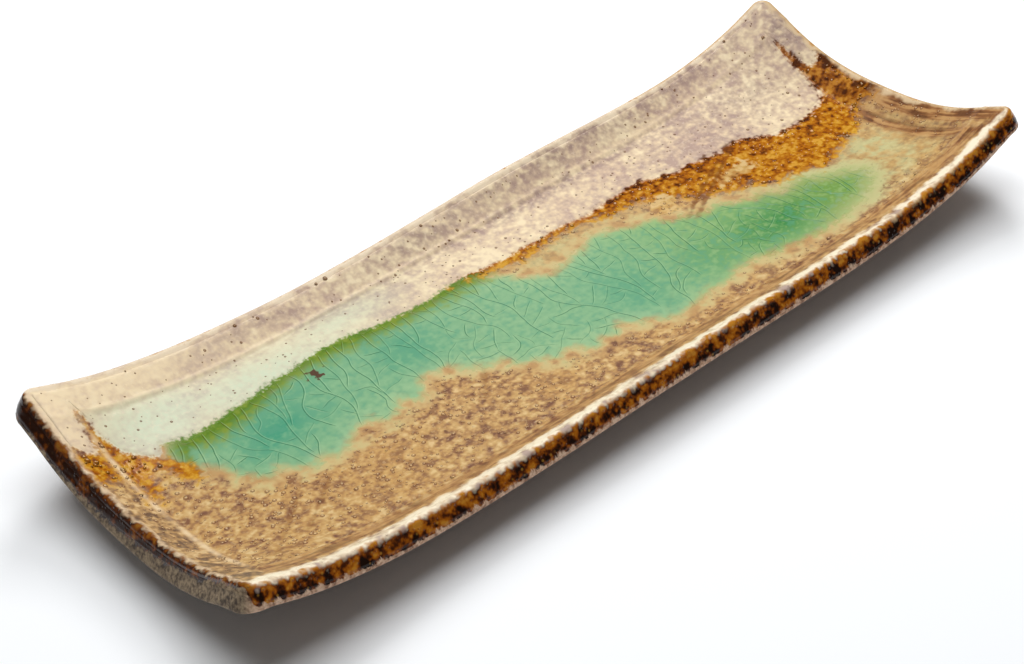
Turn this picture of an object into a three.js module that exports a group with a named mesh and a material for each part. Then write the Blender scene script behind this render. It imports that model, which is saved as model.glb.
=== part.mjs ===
import * as THREE from 'three';

// A hand-pressed stoneware sushi plate: a curled slab on two luted foot bars, with its fired glaze
// coats as layers of their own. Millimetres. X runs along the plate, Z up, and the plate stands on z = 0.

// Driving dimensions: the slab in plan, measured to the crest of the rim
const CREST_HALF_LENGTH = 125;
const CREST_HALF_WIDTH = 45;
const PLAN_CORNER_RADIUS = 3.6;

// Driving dimensions: the rim flange that rises from the scored frame line to the crest
const END_FLANGE_WIDTH = 8.8;
const SIDE_FLANGE_WIDTH = 9.2;
const END_FLANGE_RISE = 5.5;
const SIDE_FLANGE_RISE = 5.2;
const END_RISE_LOSS_AT_CORNER = 0.37;
const SIDE_RISE_LOSS_AT_CORNER = 0.21;
const RIM_TILT = THREE.MathUtils.degToRad(30);
const EDGE_ROUNDING = 1.4;

// Driving dimensions: how the corners are lifted and the floor sags between them
const CORNER_LIFT = 9.8;
const LIFT_POWER_ALONG = 4.8;
const LIFT_POWER_ACROSS = 2.3;
const FLOOR_SAG = 1.8;

// Driving dimensions: clay thickness, glaze included
const FRAME_LINE_THICKNESS = 7.6;
const SIDE_RIM_THICKNESS = 6.1;
const END_RIM_THICKNESS = 7.0;

// Driving dimensions: the two foot bars
const FOOT_HEIGHT = 3.0;
const FOOT_WIDTH = 9;
const FOOT_LENGTH = 54;
const FOOT_SPACING = 124;
const FOOT_BEVEL = 0.7;

// Driving dimensions: the glaze coats
const COAT_THICKNESS = 0.5;
const OVERGLAZE_THICKNESS = 0.5;
const POOL_THICKNESS = 0.7;
const LAYER_GAP = 0.3;
const OVERGLAZE_SPACING = 0.6;
const COAT_WRAP = 0.4;
const BARE_LOWER_EDGE = 0.9;
const LEFT_END_BAND_SHARE = 0.55;
const CREAM_CREST_MARGIN = 3.2;

// Slow waves that the hand left in the two long rims: height of 1, 2, 3 and 4 half waves
const REAR_RIM_WAVES = [0.15, -0.55, -0.25, 0.65];
const FRONT_RIM_WAVES = [0.25, 0.3, -0.25, 0.1];

// Facets: steps from the middle to the frame line, over the flange, and round a corner or an edge
const FLOOR_STEPS_ALONG = 12;
const FLOOR_STEPS_ACROSS = 5;
const FLANGE_STEPS = 2;
const CORNER_STEPS = 2;
const ROUNDING_STEPS = 2;
const FOOT_END_STEPS = 8;

// Facets of the glaze layers: steps along each, and across each pair of its plan curves
const CREAM_STEPS_ALONG = 34;
const CREAM_STEPS_ACROSS = 2;
const POOL_STEPS_ALONG = 40;
const POOL_STEPS_ACROSS = 5;
const AMBER_STEPS_ALONG = 26;
const AMBER_STEPS_ACROSS = 3;

// Plan distance over which the slope of the top face is taken
const SLOPE_STEP = 0.05;

// Share of a rounded edge's radius by which its middle lies inside the sharp corner
const ROUND_MIDDLE_INSET = 1 - Math.SQRT1_2;

// Heights above the table that follow from the sizes above
const UNDERSIDE_HEIGHT = FOOT_HEIGHT + LAYER_GAP;
const FRAME_LINE_HEIGHT = UNDERSIDE_HEIGHT + FRAME_LINE_THICKNESS;
const FRAME_HALF_LENGTH = CREST_HALF_LENGTH - END_FLANGE_WIDTH;
const FRAME_HALF_WIDTH = CREST_HALF_WIDTH - SIDE_FLANGE_WIDTH;

// The glaze edges below are in percent of the way from the middle to the frame line, along and across.
// Where the cream glaze of the rear strip meets the others, from left to right
const MEETING_LINE = [
  [-99, 67], [-92, 60], [-83, 58], [-72, 62], [-60, 68], [-47, 74], [-36, 69], [-26, 65],
  [-9, 63], [9, 59], [24, 59], [38, 60], [53, 49], [69, 42], [80, 28], [91, 28], [99, 36],
];

// Edges of the green glass pool that don't follow the meeting line
const POOL_REAR_EDGE_RIGHT = [
  [-3, 50], [3, 35], [10, 28], [22, 34], [34, 20], [46, -3], [60, -24], [72, -31], [81, -56],
];
const POOL_FRONT_EDGE = [
  [-92, 47], [-87, 22], [-78, -6], [-67, -22], [-53, -13], [-38, -11], [-26, -27], [-14, -50],
  [0, -63], [10, -75], [24, -80], [40, -74], [55, -81], [71, -80], [81, -66],
];
const POOL_MEETING_RANGE = [-93, -8];

// Front edge of the amber iron run, which fills the space between the pool and the cream glaze
const AMBER_FRONT_EDGE = [
  [-1, 55], [9, 51], [24, 50], [36, 39], [45, 14], [55, 0], [69, -18], [80, -28], [90, -17], [99, -3],
];
const AMBER_MEETING_RANGE = [0, 100];

/** Shares of the way from the middle to the frame line, along and across, and no more past it. */
function floorShares(x, y) {
  const along = Math.min(Math.abs(x) / FRAME_HALF_LENGTH, 1);
  const across = Math.min(Math.abs(y) / FRAME_HALF_WIDTH, 1);
  return { along, across };
}

/** Shares of the way from the frame line to the crest, towards the end and towards the side. */
function flangeShares(x, y) {
  const end = THREE.MathUtils.clamp((Math.abs(x) - FRAME_HALF_LENGTH) / END_FLANGE_WIDTH, 0, 1);
  const side = THREE.MathUtils.clamp((Math.abs(y) - FRAME_HALF_WIDTH) / SIDE_FLANGE_WIDTH, 0, 1);
  return { end, side };
}

/** Height of the hand-made waves, full at a long rim's crest and fading fast towards the middle. */
function rimWave(x, y) {
  const waves = y > 0 ? REAR_RIM_WAVES : FRONT_RIM_WAVES;
  const place = THREE.MathUtils.clamp(x / CREST_HALF_LENGTH, -1, 1) / 2 + 0.5;
  const wave = waves.reduce((sum, height, k) => sum + height * Math.sin((k + 1) * Math.PI * place), 0);
  return wave * Math.min(Math.abs(y) / CREST_HALF_WIDTH, 1) ** 4;
}

/** Height of the pressed sheet without its sag: floor, lifted corners and curled rim. */
function sheetHeight(x, y) {
  const { along, across } = floorShares(x, y);
  const { end, side } = flangeShares(x, y);
  const lift = CORNER_LIFT * along ** LIFT_POWER_ALONG * across ** LIFT_POWER_ACROSS;
  const endRise = END_FLANGE_RISE * (1 - END_RISE_LOSS_AT_CORNER * across ** 2) * end;
  const sideRise = SIDE_FLANGE_RISE * (1 - SIDE_RISE_LOSS_AT_CORNER * along ** 4) * side;
  return FRAME_LINE_HEIGHT + lift + endRise + sideRise + rimWave(x, y);
}

/** Height of the glazed top face. */
function topHeight(x, y) {
  const { along, across } = floorShares(x, y);
  return sheetHeight(x, y) - FLOOR_SAG * (1 - along ** 2) * (1 - across ** 2);
}

/** Point of the glazed top face over a plan point, moved along the face's normal by an offset. */
function topPoint(x, y, offset) {
  const slopeAlong = (topHeight(x + SLOPE_STEP, y) - topHeight(x - SLOPE_STEP, y)) / (2 * SLOPE_STEP);
  const slopeAcross = (topHeight(x, y + SLOPE_STEP) - topHeight(x, y - SLOPE_STEP)) / (2 * SLOPE_STEP);
  const normal = new THREE.Vector3(-slopeAlong, -slopeAcross, 1).normalize();
  return new THREE.Vector3(x, y, topHeight(x, y)).addScaledVector(normal, offset);
}

/** Plan distances of the grid lines from one edge to the other, denser over the flange and the corner. */
function gridLines(frame, edge, radius, floorSteps) {
  const half = [];
  for (let k = 0; k < floorSteps; k += 1) half.push((frame * k) / floorSteps);
  for (let k = 0; k < FLANGE_STEPS; k += 1) half.push(frame + ((edge - radius - frame) * k) / FLANGE_STEPS);
  for (let k = 0; k <= CORNER_STEPS; k += 1) half.push(edge - radius + (radius * k) / CORNER_STEPS);
  const mirrored = half.slice(1).reverse().map((distance) => -distance);
  return [...mirrored, ...half];
}

// The grid ends where the crest's rounding starts
const ROUNDING_INSET = EDGE_ROUNDING * Math.cos(RIM_TILT);
const GRID_HALF_LENGTH = CREST_HALF_LENGTH - ROUNDING_INSET;
const GRID_HALF_WIDTH = CREST_HALF_WIDTH - ROUNDING_INSET;
const GRID_CORNER_RADIUS = PLAN_CORNER_RADIUS - ROUNDING_INSET;
const LINES_ALONG = gridLines(FRAME_HALF_LENGTH, GRID_HALF_LENGTH, GRID_CORNER_RADIUS, FLOOR_STEPS_ALONG);
const LINES_ACROSS = gridLines(FRAME_HALF_WIDTH, GRID_HALF_WIDTH, GRID_CORNER_RADIUS, FLOOR_STEPS_ACROSS);

/** Plan place of a grid crossing, with the four corners of the grid drawn in to round arcs. */
function gridPlace(i, j) {
  const x = LINES_ALONG[i];
  const y = LINES_ACROSS[j];
  const p = Math.max(Math.abs(x) - (GRID_HALF_LENGTH - GRID_CORNER_RADIUS), 0) / GRID_CORNER_RADIUS;
  const q = Math.max(Math.abs(y) - (GRID_HALF_WIDTH - GRID_CORNER_RADIUS), 0) / GRID_CORNER_RADIUS;
  const along = p * Math.sqrt(1 - (q * q) / 2);
  const across = q * Math.sqrt(1 - (p * p) / 2);
  const outward = new THREE.Vector2(Math.sign(x) * along, Math.sign(y) * across);
  if (outward.length() > 0) outward.normalize();
  return {
    x: Math.sign(x) * (Math.abs(x) + (along - p) * GRID_CORNER_RADIUS),
    y: Math.sign(y) * (Math.abs(y) + (across - q) * GRID_CORNER_RADIUS),
    outward,
  };
}

/** Clay thickness at the cut edge: the side's on the long rims and the end's on the short ones. */
function rimThickness(outward) {
  return SIDE_RIM_THICKNESS * outward.y ** 2 + END_RIM_THICKNESS * outward.x ** 2;
}

/** Point at the cut edge: so far along the flange past the crest, and so deep square to it. */
function rimPoint(place, along, deep) {
  const crestX = place.x + place.outward.x * ROUNDING_INSET;
  const crestY = place.y + place.outward.y * ROUNDING_INSET;
  const out = along * Math.cos(RIM_TILT) + deep * Math.sin(RIM_TILT);
  const up = along * Math.sin(RIM_TILT) - deep * Math.cos(RIM_TILT);
  return new THREE.Vector3(
    crestX + place.outward.x * out,
    crestY + place.outward.y * out,
    sheetHeight(crestX, crestY) + up,
  );
}

/** Point of the bare underside below a grid place: flat under the floor, square to the flange at the rim. */
function underPoint(place) {
  const { end, side } = flangeShares(place.x, place.y);
  const share = Math.min(Math.hypot(end, side), 1);
  const direction = new THREE.Vector2(Math.sign(place.x) * end, Math.sign(place.y) * side);
  if (direction.length() > 0) direction.normalize();
  const thickness = rimThickness(direction);
  const shift = share * thickness * Math.sin(RIM_TILT);
  const drop = THREE.MathUtils.lerp(FRAME_LINE_THICKNESS, thickness * Math.cos(RIM_TILT), share);
  return new THREE.Vector3(
    place.x + direction.x * shift,
    place.y + direction.y * shift,
    sheetHeight(place.x, place.y) - drop,
  );
}

/** Quarter round of the crest for a coat that lies so far inside the outer face, as [along, deep] pairs. */
function crestRounding(inset) {
  const radius = EDGE_ROUNDING - inset;
  return Array.from({ length: ROUNDING_STEPS }, (_, k) => {
    const angle = ((k + 1) / ROUNDING_STEPS) * (Math.PI / 2);
    return [-EDGE_ROUNDING + radius * Math.sin(angle), EDGE_ROUNDING - radius * Math.cos(angle)];
  });
}

/** Grid crossings round the edge of a grid, counter-clockwise seen from above. */
function edgeCrossings(columns, rows) {
  const edge = [];
  for (let i = 0; i < columns - 1; i += 1) edge.push([i, 0]);
  for (let j = 0; j < rows - 1; j += 1) edge.push([columns - 1, j]);
  for (let i = columns - 1; i > 0; i -= 1) edge.push([i, rows - 1]);
  for (let j = rows - 1; j > 0; j -= 1) edge.push([0, j]);
  return edge;
}

/** Point of the top face at a grid crossing, moved square to the face by an offset. */
function facePoint(i, j, offset) {
  const place = gridPlace(i, j);
  const onEdge = i === 0 || j === 0 || i === LINES_ALONG.length - 1 || j === LINES_ACROSS.length - 1;
  if (onEdge) return rimPoint(place, -EDGE_ROUNDING, -offset);
  return topPoint(place.x, place.y, offset);
}

/** Collects shared points and outward triangles of one closed body. */
class Body {
  positions = [];

  index = [];

  add(point) {
    this.positions.push(point.x, point.y, point.z);
    return this.positions.length / 3 - 1;
  }

  quad(a, b, c, d, otherDiagonal = false) {
    if (otherDiagonal) this.index.push(a, b, d, b, c, d);
    else this.index.push(a, b, c, a, c, d);
  }

  strip(upper, lower) {
    upper.forEach((_, k) => {
      const next = (k + 1) % upper.length;
      this.quad(lower[k], lower[next], upper[next], upper[k]);
    });
  }

  geometry() {
    const geometry = new THREE.BufferGeometry();
    geometry.setAttribute('position', new THREE.Float32BufferAttribute(this.positions, 3));
    geometry.setIndex(this.index);
    geometry.computeVertexNormals();
    return geometry;
  }
}

/** Closed sheet between an upper and a lower face on one grid, with loops of edge points between them. */
function sheetGeometry(columns, rows, upperPoint, lowerPoint, edgePoints = []) {
  const body = new Body();
  const face = (pointAt) => Array.from({ length: columns }, (_, i) => (
    Array.from({ length: rows }, (__, j) => body.add(pointAt(i, j)))));
  const upper = face(upperPoint);
  const lower = face(lowerPoint);
  for (let i = 0; i < columns - 1; i += 1) {
    for (let j = 0; j < rows - 1; j += 1) {
      // Diagonals run round the lifted corners, the same in all four quarters
      const round = (2 * i + 1 > columns - 1) === (2 * j + 1 > rows - 1);
      body.quad(upper[i][j], upper[i + 1][j], upper[i + 1][j + 1], upper[i][j + 1], round);
      body.quad(lower[i][j + 1], lower[i + 1][j + 1], lower[i + 1][j], lower[i][j], !round);
    }
  }
  const edge = edgeCrossings(columns, rows);
  const loops = [
    edge.map(([i, j]) => upper[i][j]),
    ...edgePoints.map((pointAt) => edge.map(([i, j]) => body.add(pointAt(i, j)))),
    edge.map(([i, j]) => lower[i][j]),
  ];
  for (let k = 0; k < loops.length - 1; k += 1) body.strip(loops[k], loops[k + 1]);
  return body.geometry();
}

/** Edge point function for the cut edge, from a place's own [along, deep] pair. */
function edgePoint(pairAt) {
  return (i, j) => {
    const place = gridPlace(i, j);
    const [along, deep] = pairAt(rimThickness(place.outward), place);
    return rimPoint(place, along, deep);
  };
}

/** Named mesh with a plain material. */
function piece(name, geometry, color, roughness) {
  const mesh = new THREE.Mesh(geometry, new THREE.MeshStandardMaterial({ color, roughness, metalness: 0 }));
  mesh.name = name;
  return mesh;
}

/** The fired clay slab, inside its glaze on the top face and the cut edge and bare below. */
function plateBody() {
  const inset = COAT_THICKNESS + LAYER_GAP;
  const lowerRounding = EDGE_ROUNDING * ROUND_MIDDLE_INSET;
  const edge = [
    ...crestRounding(inset).map((pair) => edgePoint(() => pair)),
    edgePoint((thickness) => [-inset, thickness - EDGE_ROUNDING]),
    edgePoint((thickness) => [-inset - lowerRounding, thickness - lowerRounding]),
  ];
  const upper = (i, j) => facePoint(i, j, -inset);
  const lower = (i, j) => underPoint(gridPlace(i, j));
  const geometry = sheetGeometry(LINES_ALONG.length, LINES_ACROSS.length, upper, lower, edge);
  return piece('plate_body', geometry, 0x8f7561, 0.9);
}

/** The ash glaze over the whole top face, rolled over the crest and a little way down the cut edge. */
function ashGlazeCoat() {
  const skirt = EDGE_ROUNDING + COAT_WRAP;
  const edge = [
    ...crestRounding(0).map((pair) => edgePoint(() => pair)),
    edgePoint(() => [0, skirt]),
    edgePoint(() => [-COAT_THICKNESS, skirt]),
    ...crestRounding(COAT_THICKNESS).reverse().map((pair) => edgePoint(() => pair)),
  ];
  const upper = (i, j) => facePoint(i, j, 0);
  const lower = (i, j) => facePoint(i, j, -COAT_THICKNESS);
  const geometry = sheetGeometry(LINES_ALONG.length, LINES_ACROSS.length, upper, lower, edge);
  return piece('ash_glaze_coat', geometry, 0xb48a58, 0.4);
}

/** The dark iron glaze round the cut edge, between the ash glaze and the bare lower edge. */
function ironEdgeGlaze() {
  const top = EDGE_ROUNDING + COAT_WRAP + LAYER_GAP;
  const bottom = (thickness, place) => {
    const full = thickness - BARE_LOWER_EDGE - top;
    const onLeftEnd = Math.max(-place.outward.x, 0) ** 2;
    return top + full * THREE.MathUtils.lerp(1, LEFT_END_BAND_SHARE, onLeftEnd);
  };
  const pairs = [
    () => [0, top],
    (thickness, place) => [0, bottom(thickness, place)],
    (thickness, place) => [-COAT_THICKNESS, bottom(thickness, place)],
    () => [-COAT_THICKNESS, top],
  ];
  const body = new Body();
  const edge = edgeCrossings(LINES_ALONG.length, LINES_ACROSS.length);
  const loops = pairs.map((pair) => edge.map(([i, j]) => body.add(edgePoint(pair)(i, j))));
  loops.forEach((loop, k) => body.strip(loop, loops[(k + 1) % loops.length]));
  return piece('iron_edge_glaze', body.geometry(), 0x4a2a12, 0.25);
}

/** Plan points in millimetres of points given in percent of the way to the frame line. */
function onFloor(points) {
  return points.map(([along, across]) => [
    (along / 100) * FRAME_HALF_LENGTH,
    (across / 100) * FRAME_HALF_WIDTH,
  ]);
}

/** Smooth plan curve through chosen points. */
function planCurve(points) {
  return new THREE.SplineCurve(points.map(([x, y]) => new THREE.Vector2(x, y)));
}

/** Plan points of the meeting line between two of its places, moved to the front by the spacing. */
function besideMeetingLine([from, to]) {
  const stretch = MEETING_LINE.filter(([along]) => along >= from && along <= to);
  return onFloor(stretch).map(([x, y]) => [x, y - OVERGLAZE_SPACING]);
}

/** Layer of glaze on the ash glaze, between plan curves from front to rear, with steps across each pair. */
function overglaze(curves, stepsAlong, stepsAcross, thickness) {
  const rows = [];
  for (let k = 0; k < curves.length - 1; k += 1) {
    const first = k === 0 ? 0 : 1;
    for (let step = first; step <= stepsAcross; step += 1) {
      rows.push([curves[k], curves[k + 1], step / stepsAcross]);
    }
  }
  const planAt = (i, j) => {
    const [front, rear, share] = rows[j];
    const place = i / stepsAlong;
    return front.getPointAt(place).lerp(rear.getPointAt(place), share);
  };
  const face = (offset) => (i, j) => {
    const plan = planAt(i, j);
    return topPoint(plan.x, plan.y, offset);
  };
  return sheetGeometry(stepsAlong + 1, rows.length, face(LAYER_GAP + thickness), face(LAYER_GAP));
}

/** The cream glaze over the rear strip of the floor and the rear flange. */
function creamRearGlaze() {
  const meetingLine = onFloor(MEETING_LINE);
  const [leftX] = meetingLine[0];
  const [rightX] = meetingLine[meetingLine.length - 1];
  const crestLine = CREST_HALF_WIDTH - CREAM_CREST_MARGIN;
  const curves = [
    planCurve(meetingLine),
    planCurve([[leftX, FRAME_HALF_WIDTH], [rightX, FRAME_HALF_WIDTH]]),
    planCurve([[leftX, crestLine], [rightX, crestLine]]),
  ];
  const geometry = overglaze(curves, CREAM_STEPS_ALONG, CREAM_STEPS_ACROSS, OVERGLAZE_THICKNESS);
  return piece('cream_rear_glaze', geometry, 0xdcc9ae, 0.4);
}

/** The pool of green copper glass in the floor. */
function greenGlassPool() {
  const curves = [
    planCurve(onFloor(POOL_FRONT_EDGE)),
    planCurve([...besideMeetingLine(POOL_MEETING_RANGE), ...onFloor(POOL_REAR_EDGE_RIGHT)]),
  ];
  const geometry = overglaze(curves, POOL_STEPS_ALONG, POOL_STEPS_ACROSS, POOL_THICKNESS);
  return piece('green_glass_pool', geometry, 0x5fae8a, 0.1);
}

/** The amber iron glaze that ran along the meeting line to the right end. */
function amberIronRun() {
  const curves = [
    planCurve(onFloor(AMBER_FRONT_EDGE)),
    planCurve(besideMeetingLine(AMBER_MEETING_RANGE)),
  ];
  const geometry = overglaze(curves, AMBER_STEPS_ALONG, AMBER_STEPS_ACROSS, OVERGLAZE_THICKNESS);
  return piece('amber_iron_run', geometry, 0x9c5f16, 0.3);
}

/** One foot bar, a round-ended strip of clay across the plate with bevelled edges. */
function footBar(name, x) {
  const radius = FOOT_WIDTH / 2;
  const straight = FOOT_LENGTH / 2 - radius;
  const outline = new THREE.Shape();
  outline.moveTo(radius, -straight);
  outline.lineTo(radius, straight);
  outline.absarc(0, straight, radius, 0, Math.PI, false);
  outline.lineTo(-radius, -straight);
  outline.absarc(0, -straight, radius, Math.PI, 2 * Math.PI, false);
  const geometry = new THREE.ExtrudeGeometry(outline, {
    depth: FOOT_HEIGHT - 2 * FOOT_BEVEL,
    bevelEnabled: true,
    bevelThickness: FOOT_BEVEL,
    bevelSize: FOOT_BEVEL,
    bevelOffset: -FOOT_BEVEL,
    bevelSegments: ROUNDING_STEPS,
    curveSegments: FOOT_END_STEPS,
  });
  geometry.translate(x, 0, FOOT_BEVEL);
  return piece(name, geometry, 0x7d6450, 0.95);
}

const plate = new THREE.Group();
plate.add(plateBody());
plate.add(footBar('foot_bar_left', -FOOT_SPACING / 2));
plate.add(footBar('foot_bar_right', FOOT_SPACING / 2));
plate.add(ashGlazeCoat());
plate.add(creamRearGlaze());
plate.add(greenGlassPool());
plate.add(amberIronRun());
plate.add(ironEdgeGlaze());

export default plate;
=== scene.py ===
"""Looks of a hand-pressed stoneware sushi plate with ash, cream, copper green and amber glazes.

All sizes are in millimetres until a mesh is made, and x runs along the plate, y towards the cream rear
rim and z up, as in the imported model.
"""

import logging
import math
from dataclasses import dataclass, field
from enum import Enum

import bpy
import numpy as np
from mathutils import Matrix


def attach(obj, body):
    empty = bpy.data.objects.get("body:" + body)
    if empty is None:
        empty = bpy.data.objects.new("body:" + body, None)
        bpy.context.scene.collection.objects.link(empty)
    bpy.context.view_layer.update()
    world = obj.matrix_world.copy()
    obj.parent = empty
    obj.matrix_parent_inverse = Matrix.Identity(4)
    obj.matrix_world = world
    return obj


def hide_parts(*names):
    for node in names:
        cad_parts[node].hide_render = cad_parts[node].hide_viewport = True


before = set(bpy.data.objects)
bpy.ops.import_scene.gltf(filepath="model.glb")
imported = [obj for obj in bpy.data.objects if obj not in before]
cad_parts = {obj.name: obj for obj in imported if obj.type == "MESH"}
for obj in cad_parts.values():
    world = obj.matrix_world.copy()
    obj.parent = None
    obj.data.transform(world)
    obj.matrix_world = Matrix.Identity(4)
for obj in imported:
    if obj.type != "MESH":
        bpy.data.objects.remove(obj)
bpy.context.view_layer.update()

LOG = logging.getLogger("sushi_plate")
MM = 0.001
Array = np.ndarray
Span = tuple[float, float]
Points = tuple[Span, ...]
Hills = tuple[tuple[float, float, float, float, float], ...]
Ellipses = tuple[tuple[float, float, float, float], ...]
Socket = bpy.types.NodeSocket

# Least length that anything is divided by
TINY = 1e-9

# How far the rounded crest starts inside the plate's outline
CREST_INSET = 1.212

# Where the green glass met the cream, which is part of both of their outlines
SHARED_EDGE = (
    (-101.5, 20.9), (-97, 20), (-90, 20.5), (-85, 21.5), (-80, 22), (-75, 22.6), (-70, 23.5), (-65, 23.8),
    (-60, 24.8), (-53, 25.4), (-47, 25.2), (-40, 23.4), (-30, 22.4), (-24, 22), (-17, 22.8),
)

# Iron specks in the cream that stand out by their size: middle x and y, and radius
PINHOLES = (
    (-78, 40.5, 0.6), (-61, 42, 0.7), (-67.3, 42.8, 0.6), (-42, 43, 0.5), (-39, 43.1, 0.75), (-20, 37, 0.5),
    (0, 37.3, 0.7), (-4, 36, 0.6), (-5.5, 35.5, 0.4), (-23, 31, 0.5), (-7, 28.2, 0.6), (3.5, 26, 0.6),
    (8, 27.3, 0.6), (10.7, 22.8, 0.5), (19.3, 23.5, 0.6), (23, 31, 0.5), (34, 28, 0.5), (47, 28, 0.5),
    (43, 23.5, 0.45), (60.8, 23.8, 0.5), (66, 38, 0.6), (62, 37, 0.4), (72.5, 29, 0.6), (81, 25.5, 0.55),
    (88.5, 25, 0.5), (108.3, 19.5, 0.8), (110, 16.7, 0.7), (98.5, 12.7, 0.8), (94.5, 14, 0.45),
    (88.6, 16.4, 0.8), (115.8, 36.2, 0.7), (-112, 31.3, 0.5), (-106, 27.6, 0.5), (-103, 37, 0.35),
    (-63, 28.7, 0.5), (-80, 26.6, 0.4), (-71, 25.9, 0.35), (-39.5, 36.5, 0.5), (-41.7, 37.3, 0.4),
    (107, 43, 0.5), (84.3, 40.6, 0.5), (109, 36.6, 0.5), (15.2, 21.3, 0.7), (104.7, 37.5, 0.4),
)


def linear(hex_colour: str) -> tuple[float, float, float, float]:
    """Turns an sRGB colour into the linear colour that a shader takes.

    Args:
        hex_colour: Six hex digits, with or without a leading hash.

    Returns:
        Linear red, green and blue, and an alpha of 1.
    """
    digits = hex_colour.lstrip("#")
    channels = [int(digits[k:k + 2], 16) / 255 for k in (0, 2, 4)]
    made = [c / 12.92 if c <= 0.04045 else ((c + 0.055) / 1.055) ** 2.4 for c in channels]
    return (*made, 1.0)


def smooth_step(value: Array, low: float, high: float) -> Array:
    """Gives 0 below low, 1 above high and the cubic 3 t^2 - 2 t^3 between them."""
    share = np.clip((value - low) / (high - low), 0, 1)
    return share * share * (3 - 2 * share)


def distance_to_line(x: Array, y: Array, points: Points) -> Array:
    """Least plan distance to an open polyline.

    Args:
        x: Plan places along the plate.
        y: Plan places across the plate.
        points: Corners of the polyline.

    Returns:
        Distances in millimetres, of the shape of x.
    """
    nearest = np.full(x.shape, np.inf)
    for (ax, ay), (bx, by) in zip(points[:-1], points[1:]):
        dx, dy = bx - ax, by - ay
        share = np.clip(((x - ax) * dx + (y - ay) * dy) / (dx * dx + dy * dy), 0, 1)
        nearest = np.minimum(nearest, np.hypot(x - ax - share * dx, y - ay - share * dy))
    return nearest


def height_of_line(x: Array, points: Points) -> Array:
    """Plan height y of a left-to-right polyline over places x, level past its ends."""
    along, across = np.array(points).T
    return np.interp(x, along, across)


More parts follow.
